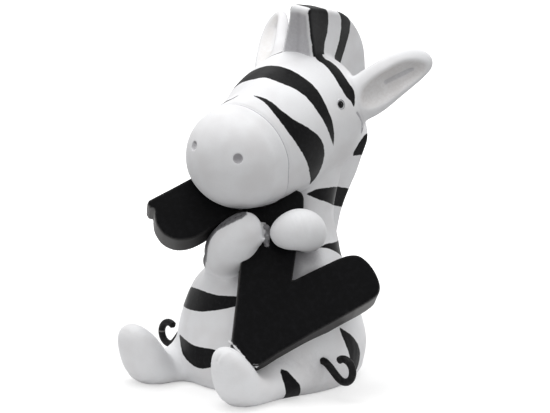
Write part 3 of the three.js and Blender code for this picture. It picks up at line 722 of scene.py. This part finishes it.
HEAD_BANDS = [BROW, NEAR_TEARDROP, FAR_TEARDROP, BEHIND_EYE, [(s + 0.3, -a, w) for s, a, w in BEHIND_EYE]]
CREST_BANDS = [[(-5.5, 24), (-5.55, 21.5), (-4.5, 18.2), (-3.55, 15.3), (-2.6, 12.2), (-1.7, 9.0), (2.0, 9.0),
                (1.2, 12.5), (1.2, 15.0), (1.9, 16.9), (1.9, 19.3), (1.4, 20.9), (1.0, 24)],
               [(4.4, 24), (5.5, 20.5), (6.4, 19.2), (7.0, 17.4), (6.9, 14.8), (6.2, 12.0), (5.9, 10.3),
                (8.8, 9.3), (9.8, 13.5), (10.6, 16.3), (10.4, 18.3), (9.0, 20.2), (7.4, 24)]]
RIDGE_BANDS = [[(18.7, 41.6, 0.15), (20.3, 42.6, 1.1), (23.5, 43.6, 2.0)],
               [(8.0, 35.5, 1.7), (13.0, 34.2, 1.9), (19.0, 32.6, 2.0)],
               [(9.0, 26.0, 0.8), (13.0, 25.2, 1.3), (18.0, 24.2, 1.4)]]
BELLY_BANDS = [
    [(-62, 14.9, 0.2), (-45, 15.8, 1.8), (-25, 16.45, 2.15), (-8, 16.75, 1.95), (5, 17.15, 1.5),
     (17, 17.7, 1.1), (34, 18.6, 0.2)],
    [(-33, 8.9, 0.1), (-27, 8.1, 0.9), (-19, 7.1, 1.7), (-11.5, 6.4, 2.1), (-3.7, 6.3, 2.15), (4, 6.7, 1.9),
     (12, 7.0, 1.5), (24, 7.6, 0.4)]]
SIDE_BANDS = [
    [(92, 12.1, 0.1), (95, 10.6, 0.9), (99, 8.8, 1.6), (103.5, 6.6, 2.0), (108, 4.6, 1.6), (111, 3.0, 0.3)],
    [(112, 36.5, 0.1), (122, 36.35, 0.95), (135, 35.8, 1.5), (146, 35.2, 1.8), (160, 34.6, 1.9)],
    [(105, 26.4, 0.05), (116, 26.4, 0.5), (127, 25.8, 0.95), (139, 25.0, 1.6), (155, 24.6, 1.9)],
    [(146, 9.6, 0.1), (156, 8.7, 1.2), (168, 8.2, 1.4), (174, 8.4, 0.2)]]
BACK_BAND = [(118, 17.2, 0.1), (135, 16.6, 1.2), (155, 16.4, 1.9), (180, 16.9, 2.2), (205, 16.4, 1.9),
             (225, 16.6, 1.2), (242, 17.2, 0.1)]
HOCK_BAND = [(15.2, -15.6, 6.4, 0.1), (16.3, -15.1, 5.2, 0.9), (17.3, -14.6, 3.6, 1.35),
             (17.0, -13.6, 2.0, 1.75), (16.0, -13.0, 0.4, 1.95)]


def stripes(p, piece):
    """Signed distance to the nearest stripe's edge, negative in the black."""
    found = np.full(len(p), FAR)
    if piece == "crest":
        q = in_head(p)
        for band in CREST_BANDS:
            found = np.minimum(found, polygon(q[:, 1], q[:, 2], np.array(band)))
        return np.maximum(found, np.minimum(before_crest(q) + 1.5, -off_crest(q)[0] - 0.45))
    if piece == "neck_mane":
        return np.minimum.reduce([stroke(band, p[:, 1:]) for band in RIDGE_BANDS])
    bands = []
    if piece in ("head", "muzzle"):
        bands = [[(*on_head(s, a), w) for s, a, w in band] for band in HEAD_BANDS]
    if piece in ("trunk", "left_leg", "right_leg"):
        mirrored = [[(-a, h, w) for a, h, w in band] for band in SIDE_BANDS]
        bands = [[(*on_trunk(a, h), w) for a, h, w in band]
                 for band in [*BELLY_BANDS, BACK_BAND, *SIDE_BANDS, *mirrored]]
    if piece in ("left_leg", "right_leg"):
        side = 1 if piece == "left_leg" else -1
        bands.append([(x * side, *rest) for x, *rest in HOCK_BAND])
    for band in bands:
        found = np.minimum(found, stroke(band, p))
    return found


# Materials
def new_material(name):
    material = bpy.data.materials.new(name)
    material.use_nodes = True
    tree = material.node_tree
    tree.nodes.clear()
    out = tree.nodes.new("ShaderNodeOutputMaterial")
    shader = tree.nodes.new("ShaderNodeBsdfPrincipled")
    tree.links.new(shader.outputs[0], out.inputs[0])
    return material, tree, shader


def feed(tree, socket, value):
    """Sets a socket to a number or a colour, or links another socket to it."""
    if isinstance(value, (int, float)):
        socket.default_value = value
    elif isinstance(value, tuple):
        socket.default_value = (*value, 1)
    else:
        tree.links.new(value, socket)


def attribute(tree, name):
    node = tree.nodes.new("ShaderNodeAttribute")
    node.attribute_name = name
    return node.outputs["Fac"]


def noise(tree, scale, detail=3.0, rough=0.5):
    """Noise of a size given in features per millimetre."""
    place = tree.nodes.new("ShaderNodeTexCoord")
    node = tree.nodes.new("ShaderNodeTexNoise")
    for key, value in (("Scale", scale / MM), ("Detail", detail), ("Roughness", rough),
                       ("Vector", place.outputs["Object"])):
        feed(tree, node.inputs[key], value)
    return node.outputs["Fac"]


def maths(tree, kind, a, b=0.5, clamp=False):
    node = tree.nodes.new("ShaderNodeMath")
    node.operation = kind
    node.use_clamp = clamp
    feed(tree, node.inputs[0], a)
    feed(tree, node.inputs[1], b)
    return node.outputs[0]


def uneven(tree, value, grain, amount):
    """The value with a noise of mean 0.5 added about zero."""
    about_zero = maths(tree, "SUBTRACT", grain, 0.5)
    return maths(tree, "ADD", value, maths(tree, "MULTIPLY", about_zero, amount))


def between(tree, value, low, high, to_low=0.0, to_high=1.0):
    """The value's smooth way from low to high, drawn out from to_low to to_high."""
    node = tree.nodes.new("ShaderNodeMapRange")
    node.interpolation_type = "SMOOTHSTEP"
    for socket, number in zip(node.inputs, (value, low, high, to_low, to_high)):
        feed(tree, socket, number)
    return node.outputs[0]


def mixed(tree, share, a, b):
    node = tree.nodes.new("ShaderNodeMix")
    node.data_type = "RGBA"
    feed(tree, node.inputs["Factor"], share)
    for key, value in (("A", a), ("B", b)):
        feed(tree, [s for s in node.inputs if s.name == key and s.type == "RGBA"][0], value)
    return [s for s in node.outputs if s.type == "RGBA"][0]


def bump(tree, shader, height, strength, distance):
    node = tree.nodes.new("ShaderNodeBump")
    for key, value in (("Strength", strength), ("Distance", distance * MM), ("Height", height)):
        feed(tree, node.inputs[key], value)
    tree.links.new(node.outputs[0], shader.inputs["Normal"])


def coat(tree, shader, colour, roughness, specular):
    for key, value in (("Base Color", colour), ("Roughness", roughness), ("Specular IOR Level", specular)):
        feed(tree, shader.inputs[key], value)


WHITE, WHITE_LOW, WHITE_WARM = (0.83, 0.835, 0.85), (0.77, 0.765, 0.775), (0.72, 0.68, 0.64)
# Greys of painted shade for creases and hollows and for thin lines in grooves, and the colour of the paint
# smear, which is partly painted contact shade
PAINTED_SHADE_GREY, LINE_GREY, SMEAR_AND_SHADE = (0.36, 0.35, 0.37), (0.3, 0.29, 0.33), (0.1, 0.098, 0.105)
INK, INK_WORN = (0.0028, 0.0028, 0.0034), (0.011, 0.0108, 0.012)


def painted_animal():
    material, tree, shader = new_material("painted_animal")
    slow = noise(tree, 0.16, 2.0)
    fine = noise(tree, 1.6, 4.0, 0.6)
    grain = noise(tree, 3.2, 2.0, 0.6)
    white = mixed(tree, between(tree, slow, 0.35, 0.7), WHITE, WHITE_LOW)
    white = mixed(tree, between(tree, grain, 0.52, 0.72, 0.0, 0.35), white, WHITE_LOW)
    warm = maths(tree, "MULTIPLY", attribute(tree, "warm"), between(tree, fine, 0.3, 0.7, 0.3, 0.6))
    white = mixed(tree, warm, white, WHITE_WARM)
    # Painted shade in the creases and nostrils, on the crest's face, in the near ear and under the chin
    shade = uneven(tree, attribute(tree, "shade"), fine, 0.3)
    white = mixed(tree, between(tree, shade, 0.12, 0.95, 0.0, 0.8), white, PAINTED_SHADE_GREY)
    # Painted shade: thin grey lines in the jaw's crease and nick, and in the muzzle's groove
    white = mixed(tree, between(tree, attribute(tree, "line"), 0.1, 0.38, 0.75, 0.0), white, LINE_GREY)
    groove = maths(tree, "ABSOLUTE", attribute(tree, "groove"))
    white = mixed(tree, between(tree, groove, 0.05, 0.19, 0.6, 0.0), white, LINE_GREY)
    edge = uneven(tree, attribute(tree, "stripe"), noise(tree, 0.9, 3.0, 0.55), 0.32)
    black = between(tree, edge, -0.07, 0.07, 1.0, 0.0)
    ink = mixed(tree, between(tree, fine, 0.45, 0.8), INK, INK_WORN)
    # The letter's black paint on the paws, with a thin band of painted contact shade next to the letter
    smear_and_shade = uneven(tree, attribute(tree, "smear_and_shade"), fine, 0.7)
    white = mixed(tree, between(tree, smear_and_shade, 0.15, 0.85, 0.0, 0.92), white, SMEAR_AND_SHADE)
    black = maths(tree, "MAXIMUM", black, between(tree, smear_and_shade, 0.95, 1.15, 0.0, 0.7), clamp=True)
    gloss = between(tree, slow, 0.3, 0.7, 0.5, 0.62)
    rough = maths(tree, "SUBTRACT", gloss, maths(tree, "MULTIPLY", black, 0.1))
    coat(tree, shader, mixed(tree, black, white, ink), rough, 0.08)
    tooth = maths(tree, "ADD", maths(tree, "MULTIPLY", fine, 0.6), noise(tree, 0.45, 3.0))
    bump(tree, shader, tooth, 0.3, 0.09)
    return material


def painted_letter():
    material, tree, shader = new_material("painted_letter")
    fine = noise(tree, 1.1, 5.0, 0.6)
    slow = noise(tree, 0.12, 3.0)
    face = mixed(tree, between(tree, fine, 0.4, 0.8), (0.003, 0.003, 0.0034), (0.0065, 0.0065, 0.0075))
    # Painted light: the walls and the rounded rim get a lighter black than the face, paler still on the lobe,
    # the spur and the foot
    side = mixed(tree, between(tree, slow, 0.35, 0.65), (0.019, 0.0185, 0.019), (0.036, 0.0345, 0.034))
    side = mixed(tree, attribute(tree, "painted_wall_light"), side, (0.2, 0.197, 0.195))
    face = mixed(tree, attribute(tree, "rim"), face, side)
    # Lighter along the face's edges: partly wear, partly a painted highlight
    worn = maths(tree, "MULTIPLY", attribute(tree, "edge"), between(tree, fine, 0.5, 0.75, 0.0, 0.25))
    face = mixed(tree, worn, face, (0.09, 0.088, 0.087))
    touch = uneven(tree, attribute(tree, "touch"), fine, 1.4)
    face = mixed(tree, between(tree, touch, 0.35, 0.8, 0.0, 0.9), face, (0.5, 0.5, 0.51))
    coat(tree, shader, face, between(tree, slow, 0.3, 0.7, 0.44, 0.56), 0.06)
    bump(tree, shader, maths(tree, "ADD", fine, maths(tree, "MULTIPLY", slow, 3.0)), 0.3, 0.08)
    return material


def painted_wire():
    material, tree, shader = new_material("painted_wire")
    fine = noise(tree, 1.4, 4.0, 0.65)
    worn = between(tree, noise(tree, 0.5, 4.0, 0.7), 0.66, 0.76, 0.0, 0.6)
    worn = maths(tree, "MAXIMUM", worn, attribute(tree, "worn"), clamp=True)
    paint = mixed(tree, between(tree, fine, 0.4, 0.75), (0.005, 0.005, 0.0055), (0.018, 0.0175, 0.018))
    colour = mixed(tree, worn, paint, (0.24, 0.23, 0.22))
    coat(tree, shader, colour, between(tree, fine, 0.3, 0.7, 0.4, 0.6), 0.12)
    bump(tree, shader, fine, 0.4, 0.06)
    return material


def painted_eye():
    material, tree, shader = new_material("painted_eye")
    off = uneven(tree, attribute(tree, "off_axis"), noise(tree, 2.0, 2.0), 0.08)
    inner, outer = between(tree, off, 0.83, 0.89), between(tree, off, 0.93, 1.01, 1.0, 0.0)
    lip = maths(tree, "MULTIPLY", maths(tree, "MULTIPLY", inner, outer), 0.7)
    colour = mixed(tree, lip, WHITE, (0.1, 0.1, 0.115))
    colour = mixed(tree, between(tree, off, 0.68, 0.76, 1.0, 0.0), colour, INK)
    glint = between(tree, attribute(tree, "glint"), 0.04, 0.16, 0.5, 0.0)
    colour = mixed(tree, glint, colour, (0.3, 0.3, 0.31))
    coat(tree, shader, colour, between(tree, off, 0.5, 0.8, 0.3, 0.55), 0.12)
    return material


animal_paint = painted_animal()
letter_paint = painted_letter()
wire_paint = painted_wire()
eye_paint = painted_eye()


# Animal pieces
def piece_field(piece, names):
    own = "head" if piece == "muzzle" else piece

    def field(p):
        d, whole = animal(p, names)
        others = [d[n] for n in names if n != own]
        if others:
            over = np.maximum(d[own] - np.minimum.reduce(others), 0)
            whole = whole + SEAM * over * over
        if piece in ("head", "muzzle"):
            past = past_groove(in_head(p)) * (1 if piece == "head" else -1)
            whole = whole + GROOVE_SEAM * np.maximum(past, 0) ** 2
        return whole

    return field


def smear_and_shade_on(p, piece):
    """Black paint of the letter that strayed onto the animal, and painted contact shade where an arm meets
    the letter.
    """
    if piece not in ("left_arm", "right_arm"):
        return np.zeros(len(p))
    # A thin darker band next to the letter: partly the letter's paint run over, partly painted contact shade
    amount = smooth(0.35, 0.0, letter_form(p)) * 0.5
    q = in_letter(p)
    if piece == "right_arm":
        above = q[:, 1] - np.interp(q[:, 0], SMEAR[:, 0], SMEAR[:, 1])
        amount = np.maximum(amount, smooth(-0.7, 0.1, above + 0.25 * waves(p, SLOW_WAVES)))
    else:
        web = stroke(letter_path(PAW_WEB), p, 12)
        amount = np.maximum(amount, 0.7 * smooth(0.6, 0.1, web) * smooth(4.4, 3.2, q[:, 1]))
    return amount


def shade_on(p, piece, crease):
    """Painted shade: grey in the creases and nostrils, on the crest's face, in the near ear, and under the
    chin and near the left paw and the letter.
    """
    # Painted shade in the creases where the forms blend, weaker on the trunk and legs
    amount = crease * (0.3 if piece in ("trunk", "left_leg", "right_leg") else 1.0)
    q = in_head(p)
    more = []
    if piece == "muzzle":
        above = unit(vec(0.5, 0, 0.85))
        high = np.maximum.reduce([(q - at) @ above for at in NOSTRILS])
        # Painted shade in the nostrils, darker toward their upper sides
        more = [smooth(-0.2, -0.06, nostril_depth(q)) * (0.5 + 0.7 * smooth(0.0, 0.6, high))]
    if piece == "crest":
        flank, x = off_crest(q)
        # Painted shade on the crest's front face, darker down its middle
        front_shade = smooth(-0.6, -0.15, before_crest(q)) * smooth(-0.15, -0.9, flank)
        more = [front_shade * smooth(21.6, 20.2, q[:, 2]) * (0.7 + 0.2 * hump(x, 0.4))]
    if piece == "left_ear":
        _, _, _, hollow, fold = EARS[piece]
        # Painted shade along the ear's fold and in its hollow
        more = [0.6 * smooth(0.8, 0.3, stroke(fold, p, 8)), 0.36 * smooth(0.6, 0.0, hollow(p))]
    if piece == "trunk":
        # Painted shade on the throat under the chin and near the left paw and the letter
        near_by = np.minimum.reduce([head_form(p), FORMS["left_arm"][0](p), letter_form(p) + 0.5])
        throat = smooth(4, -3, p[:, 1]) * smooth(18, 23, p[:, 2])
        more = [0.9 * smooth(4.5, 0.2, near_by) * throat]
    return np.maximum.reduce([amount, *more])


def jaw_line(p):
    """Distance to the crease and the nick behind the near jaw, which get a thin line of painted shade."""
    nick = np.maximum(np.linalg.norm(p - JAW_NICK, axis=1) - 0.4, 0)
    return np.minimum(nick, thin_line(JAW_CREASE, p))


def make_animal(piece):
    margin, reach = 2.5, 5
    _, low, high = FORMS["head" if piece == "muzzle" else piece]
    low, high = low - margin, high + margin
    low[2] = max(low[2], -0.5)
    if piece == "muzzle":
        centre = from_head(FORE * HEAD_LENGTH)
        low, high = centre - MUZZLE_RADIUS - 2, centre + MUZZLE_RADIUS + 2
    names = [n for n, (_, a, b) in FORMS.items() if (a < high + reach).all() and (b > low - reach).all()]
    field = piece_field(piece, names)
    step = GRID.get(piece, STEP) * COARSER
    verts, faces = net(field, low, high, step)
    verts = settle(field, verts, faces, step)
    d, whole = animal(verts, names)
    # How deep the blends sink below the forms, for painted shade in the creases
    crease = np.clip(np.minimum.reduce(list(d.values())) - whole, 0, 1)
    warm = smooth(0.6, -0.2, EARS[piece][3](verts)) if piece in EARS else np.zeros(len(verts))
    groove = past_groove(in_head(verts)) if piece in ("head", "muzzle") else np.full(len(verts), 9.0)
    piece_object("cast_" + piece, piece, verts, faces, {
        "stripe": stripes(verts, piece), "shade": shade_on(verts, piece, crease), "warm": warm,
        "line": jaw_line(verts), "groove": groove, "smear_and_shade": smear_and_shade_on(verts, piece)}, animal_paint)


for piece_name in ANIMAL:
    make_animal(piece_name)


# Letter, with smudges of white paint as rows of (letter x, y, out, half width) and an amount
SMUDGES = [([(-14.9, -12.8, 0, 0.1), (-14.5, -15.5, 0, 0.3), (-14.1, -18.4, 0, 0.3), (-12.6, -19.4, 0, 0.1)],
            0.6),
           ([(2.2, 4.2, 0, 0.2), (1.8, 2.4, 0, 0.7), (1.1, 0.8, 0, 0.6), (0.6, -0.4, 0, 0.2)], 0.55)]


def make_letter():
    middle = vec(0, 0, -LETTER_DEPTH / 2)
    corners = np.array([on_letter(*(LETTER_HALF * (x, y, z) + middle))
                        for x in (1, -1) for y in (1, -1) for z in (1, -1)])

    def field(p):
        return letter_form(p) + 0.06 * waves(p * 0.8, SLOW_WAVES) + 0.03

    step = GRID["letter_z"] * COARSER
    verts, faces = net(field, corners.min(0) - 1, corners.max(0) + 1, step)
    verts = settle(field, verts, faces, step)
    q = in_letter(verts)
    flat = polygon(q[:, 0], q[:, 1], OUTLINE)
    edge = hump(flat, 0.35) * hump(q[:, 2], 0.35)
    x, y = q[:, 0], q[:, 1]
    # Painted light on the walls of the lobe, the spur and the foot, left out at the nick in the foot
    lobe = smooth(-9.5, -15.2, x) * smooth(6, 9, y)
    spur = smooth(-14.2, -14.6, x) * smooth(13.6, 14.4, y)
    off_nick = smooth(0.3, 0.9, np.linalg.norm(q - vec(6.3, -19.2, -4.6), axis=1))
    foot = 0.1 * smooth(-8, 0, x) + 0.22 * smooth(3, 8.3, x) + 0.33 * smooth(8.2, 9.2, x)
    foot = foot * smooth(-16.5, -18.3, y) * off_nick
    touch = np.maximum.reduce([amount * smooth(0.5, -0.3, stroke(rows, q)) for rows, amount in SMUDGES])
    piece_object("block_letter", "letter_z", verts, faces, {
        "rim": smooth(-0.3, -0.05, flat), "edge": edge, "touch": touch,
        "painted_wall_light": np.clip(0.3 * lobe + 0.35 * spur + foot, 0, 1)}, letter_paint)


make_letter()


# Hooks and eyes are closed stacks of rings
def ring_around(centre, radius, first, second, sides):
    turns = 2 * np.pi * np.arange(sides) / sides
    return centre + radius * (np.cos(turns)[:, None] * first + np.sin(turns)[:, None] * second)


def stacked(rings, start, end):
    """Closed mesh of a stack of rings and the points that close its ends."""
    sides = len(rings[0])
    verts = np.concatenate([*rings, [start], [end]])
    first, last, tail = len(verts) - 2, len(verts) - 1, (len(rings) - 1) * sides
    faces = []
    for j in range(sides):
        k = (j + 1) % sides
        faces += [(first, j, k), (last, tail + k, tail + j)]
        faces += [(i + j, i + sides + j, i + sides + k, i + k) for i in range(0, tail, sides)]
    return verts, faces


WIRE_RADIUS, HOOK_RING, SHANK_HEIGHT = 0.72, 2.2, 6.8
# Rounded ends of the wire: (share of the radius back from the end, share of the radius across)
WIRE_CAPS = [(0.0, 0.35), (0.4, 0.75), (0.75, 0.95)]


def tube(points, radius):
    """Wire along points with rounded ends."""
    slope = unit(np.gradient(points, axis=0))
    normal = unit(np.cross(slope, vec(0, 1, 0)))
    rows = [(points[0] - slope[0] * radius * (0.3 - c), 0, s) for c, s in WIRE_CAPS]
    rows += [(points[i], i, 1.0) for i in range(2, len(points) - 2)]
    rows += [(points[-1] + slope[-1] * radius * (0.3 - c), -1, s) for c, s in reversed(WIRE_CAPS)]
    rings = [ring_around(at, radius * s, normal[i], np.cross(slope[i], normal[i]), 20) for at, i, s in rows]
    return stacked(rings, rows[0][0], rows[-1][0])


def make_hook(name, side):
    hip = np.sqrt(HIP_RADIUS**2 - HOOK_FORE**2)
    centre = vec(hip + 6.5, 6.0 if side > 0 else 5.05)
    turns = np.radians(238) + np.radians(252) * np.arange(10) / 9
    points = [(hip + out, SHANK_HEIGHT) for out in (-5.4, 0, 1.6)]
    points += [centre + HOOK_RING * vec(np.cos(a), np.sin(a)) for a in turns]
    path = bent([(side * out, HIPS_Y - HOOK_FORE, height) for out, height in points], 9)
    verts, faces = tube(path, WIRE_RADIUS)
    worn = np.zeros(len(verts))
    if side < 0:
        worn = 0.7 * smooth(0.2, 0.05, np.abs(verts[:, 2] - centre[1] - 0.1)) * (verts[:, 0] < -centre[0])
    piece_object("wire_" + name, name, verts, faces, {"worn": worn}, wire_paint)


make_hook("left_hook", 1)
make_hook("right_hook", -1)

# Eyes: a black dome in a white dish with a thin lip, turned from rows of (radius, height over the skull)
EYE_PROFILE = [(0.14, 0.33), (0.28, 0.31), (0.44, 0.25), (0.58, 0.15), (0.68, 0.02), (0.73, -0.06),
               (0.78, -0.1), (0.84, -0.07), (0.9, 0.02), (0.97, 0.06), (1.04, 0.03), (1.1, -0.08),
               (1.14, -0.4), (0.9, -0.9), (0.5, -1.2)]
EYE_TOP, EYE_BOTTOM = 0.335, -1.3


def make_eye(name, side):
    direction = eye_axis(side)
    first = unit(np.cross(direction, vec(0, 0, 1)))
    second = np.cross(direction, first)
    rings = [ring_around(direction * (SKULL_RADIUS + h), r, first, second, 36) for r, h in EYE_PROFILE]
    verts, faces = stacked(rings, *(direction * (SKULL_RADIUS + h) for h in (EYE_TOP, EYE_BOTTOM)))
    off = np.linalg.norm(verts - (verts @ direction)[:, None] * direction, axis=1)
    glint = np.linalg.norm(verts - direction * (SKULL_RADIUS + 0.32) - vec(0, -0.08, 0.1), axis=1)
    piece_object("dome_" + name, name, from_head(verts), faces,
                 {"off_axis": off, "glint": glint}, eye_paint)


make_eye("left_eye", 1)
make_eye("right_eye", -1)


# Floor, world and lamps
NEAR_PAPER, FAR_PAPER, SEEN_PAPER = (0.72, 0.72, 0.72), (0.24, 0.24, 0.24), (0.5, 0.5, 0.5)


def seen_directly(tree):
    """One for rays that show a background: straight, mirrored or through glass."""
    ray = tree.nodes.new("ShaderNodeLightPath")
    seen = maths(tree, "MAXIMUM", ray.outputs["Is Camera Ray"], ray.outputs["Is Glossy Ray"])
    return maths(tree, "MAXIMUM", seen, ray.outputs["Is Transmission Ray"])


def white_floor(size):
    """White paper, which throws light back only near the figure."""
    h = size / 2
    mesh = bpy.data.meshes.new("floor")
    mesh.from_pydata([(-h, -h, 0), (h, -h, 0), (h, h, 0), (-h, h, 0)], [], [(0, 1, 2, 3)])
    obj = bpy.data.objects.new("floor", mesh)
    bpy.context.scene.collection.objects.link(obj)
    material, tree, shader = new_material("floor_paper")
    out = shader.outputs[0].links[0].to_socket
    tree.nodes.remove(shader)
    seen = seen_directly(tree)
    matte, glow, place, length, both = (tree.nodes.new("ShaderNode" + kind) for kind in (
        "BsdfDiffuse", "Emission", "TexCoord", "VectorMath", "AddShader"))
    length.operation = "LENGTH"
    tree.links.new(place.outputs["Object"], length.inputs[0])
    away = length.outputs["Value"]
    around = mixed(tree, between(tree, away, 0.035, 0.09), NEAR_PAPER, FAR_PAPER)
    paper = between(tree, away, 0.05, 0.16, 0.55, 1.0)
    for value, socket in ((mixed(tree, seen, around, SEEN_PAPER), matte.inputs["Color"]),
                          (maths(tree, "MULTIPLY", seen, paper), glow.inputs["Strength"]),
                          (matte.outputs[0], both.inputs[0]), (glow.outputs[0], both.inputs[1]),
                          (both.outputs[0], out)):
        tree.links.new(value, socket)
    mesh.materials.append(material)


white_floor(6.0)
scene = bpy.context.scene
world = bpy.data.worlds.new("studio")
scene.world = world
world.use_nodes = True
tree = world.node_tree
tree.nodes.clear()
sky_out = tree.nodes.new("ShaderNodeOutputWorld")
sky = tree.nodes.new("ShaderNodeBackground")
sky.inputs["Color"].default_value = (1, 1, 1, 1)
tree.links.new(between(tree, seen_directly(tree), 0.0, 1.0, 0.76, 1.0), sky.inputs["Strength"])
tree.links.new(sky.outputs[0], sky_out.inputs[0])


def lamp(name, place, target, size, power):
    data = bpy.data.lights.new(name, "AREA")
    data.shape = "DISK"
    data.size = size
    data.energy = power
    obj = bpy.data.objects.new(name, data)
    obj.location = place
    obj.rotation_euler = (Vector(target) - Vector(place)).to_track_quat("-Z", "Y").to_euler()
    scene.collection.objects.link(obj)


lamp("overhead", (-0.06, 0.0, 0.72), target=(0, 0, 0.04), size=0.7, power=3.4)

# Camera at the photograph's angle, 45 degrees round and 10 degrees up
CAMERA_RIGHT, CAMERA_UP, CAMERA_BACK = -0.79, 32.77, 420
right = vec(0.70711, 0.70711, 0)
up = vec(-0.12279, 0.12279, 0.98481)
back = vec(0.69636, -0.69636, 0.17365)
eye_point = CAMERA_RIGHT * right + CAMERA_UP * up + CAMERA_BACK * back + vec(0, SHIFT_Y, 0)
camera_data = bpy.data.cameras.new("camera")
camera_data.sensor_width = 36
camera_data.lens = 138.8
camera_data.clip_start = 0.01
camera = bpy.data.objects.new("camera", camera_data)
facing = Matrix(np.stack([right, up, back], 1).tolist()).to_4x4()
camera.matrix_world = Matrix.Translation(Vector(eye_point * MM)) @ facing
scene.collection.objects.link(camera)
scene.camera = camera
scene.view_settings.view_transform = "Standard"
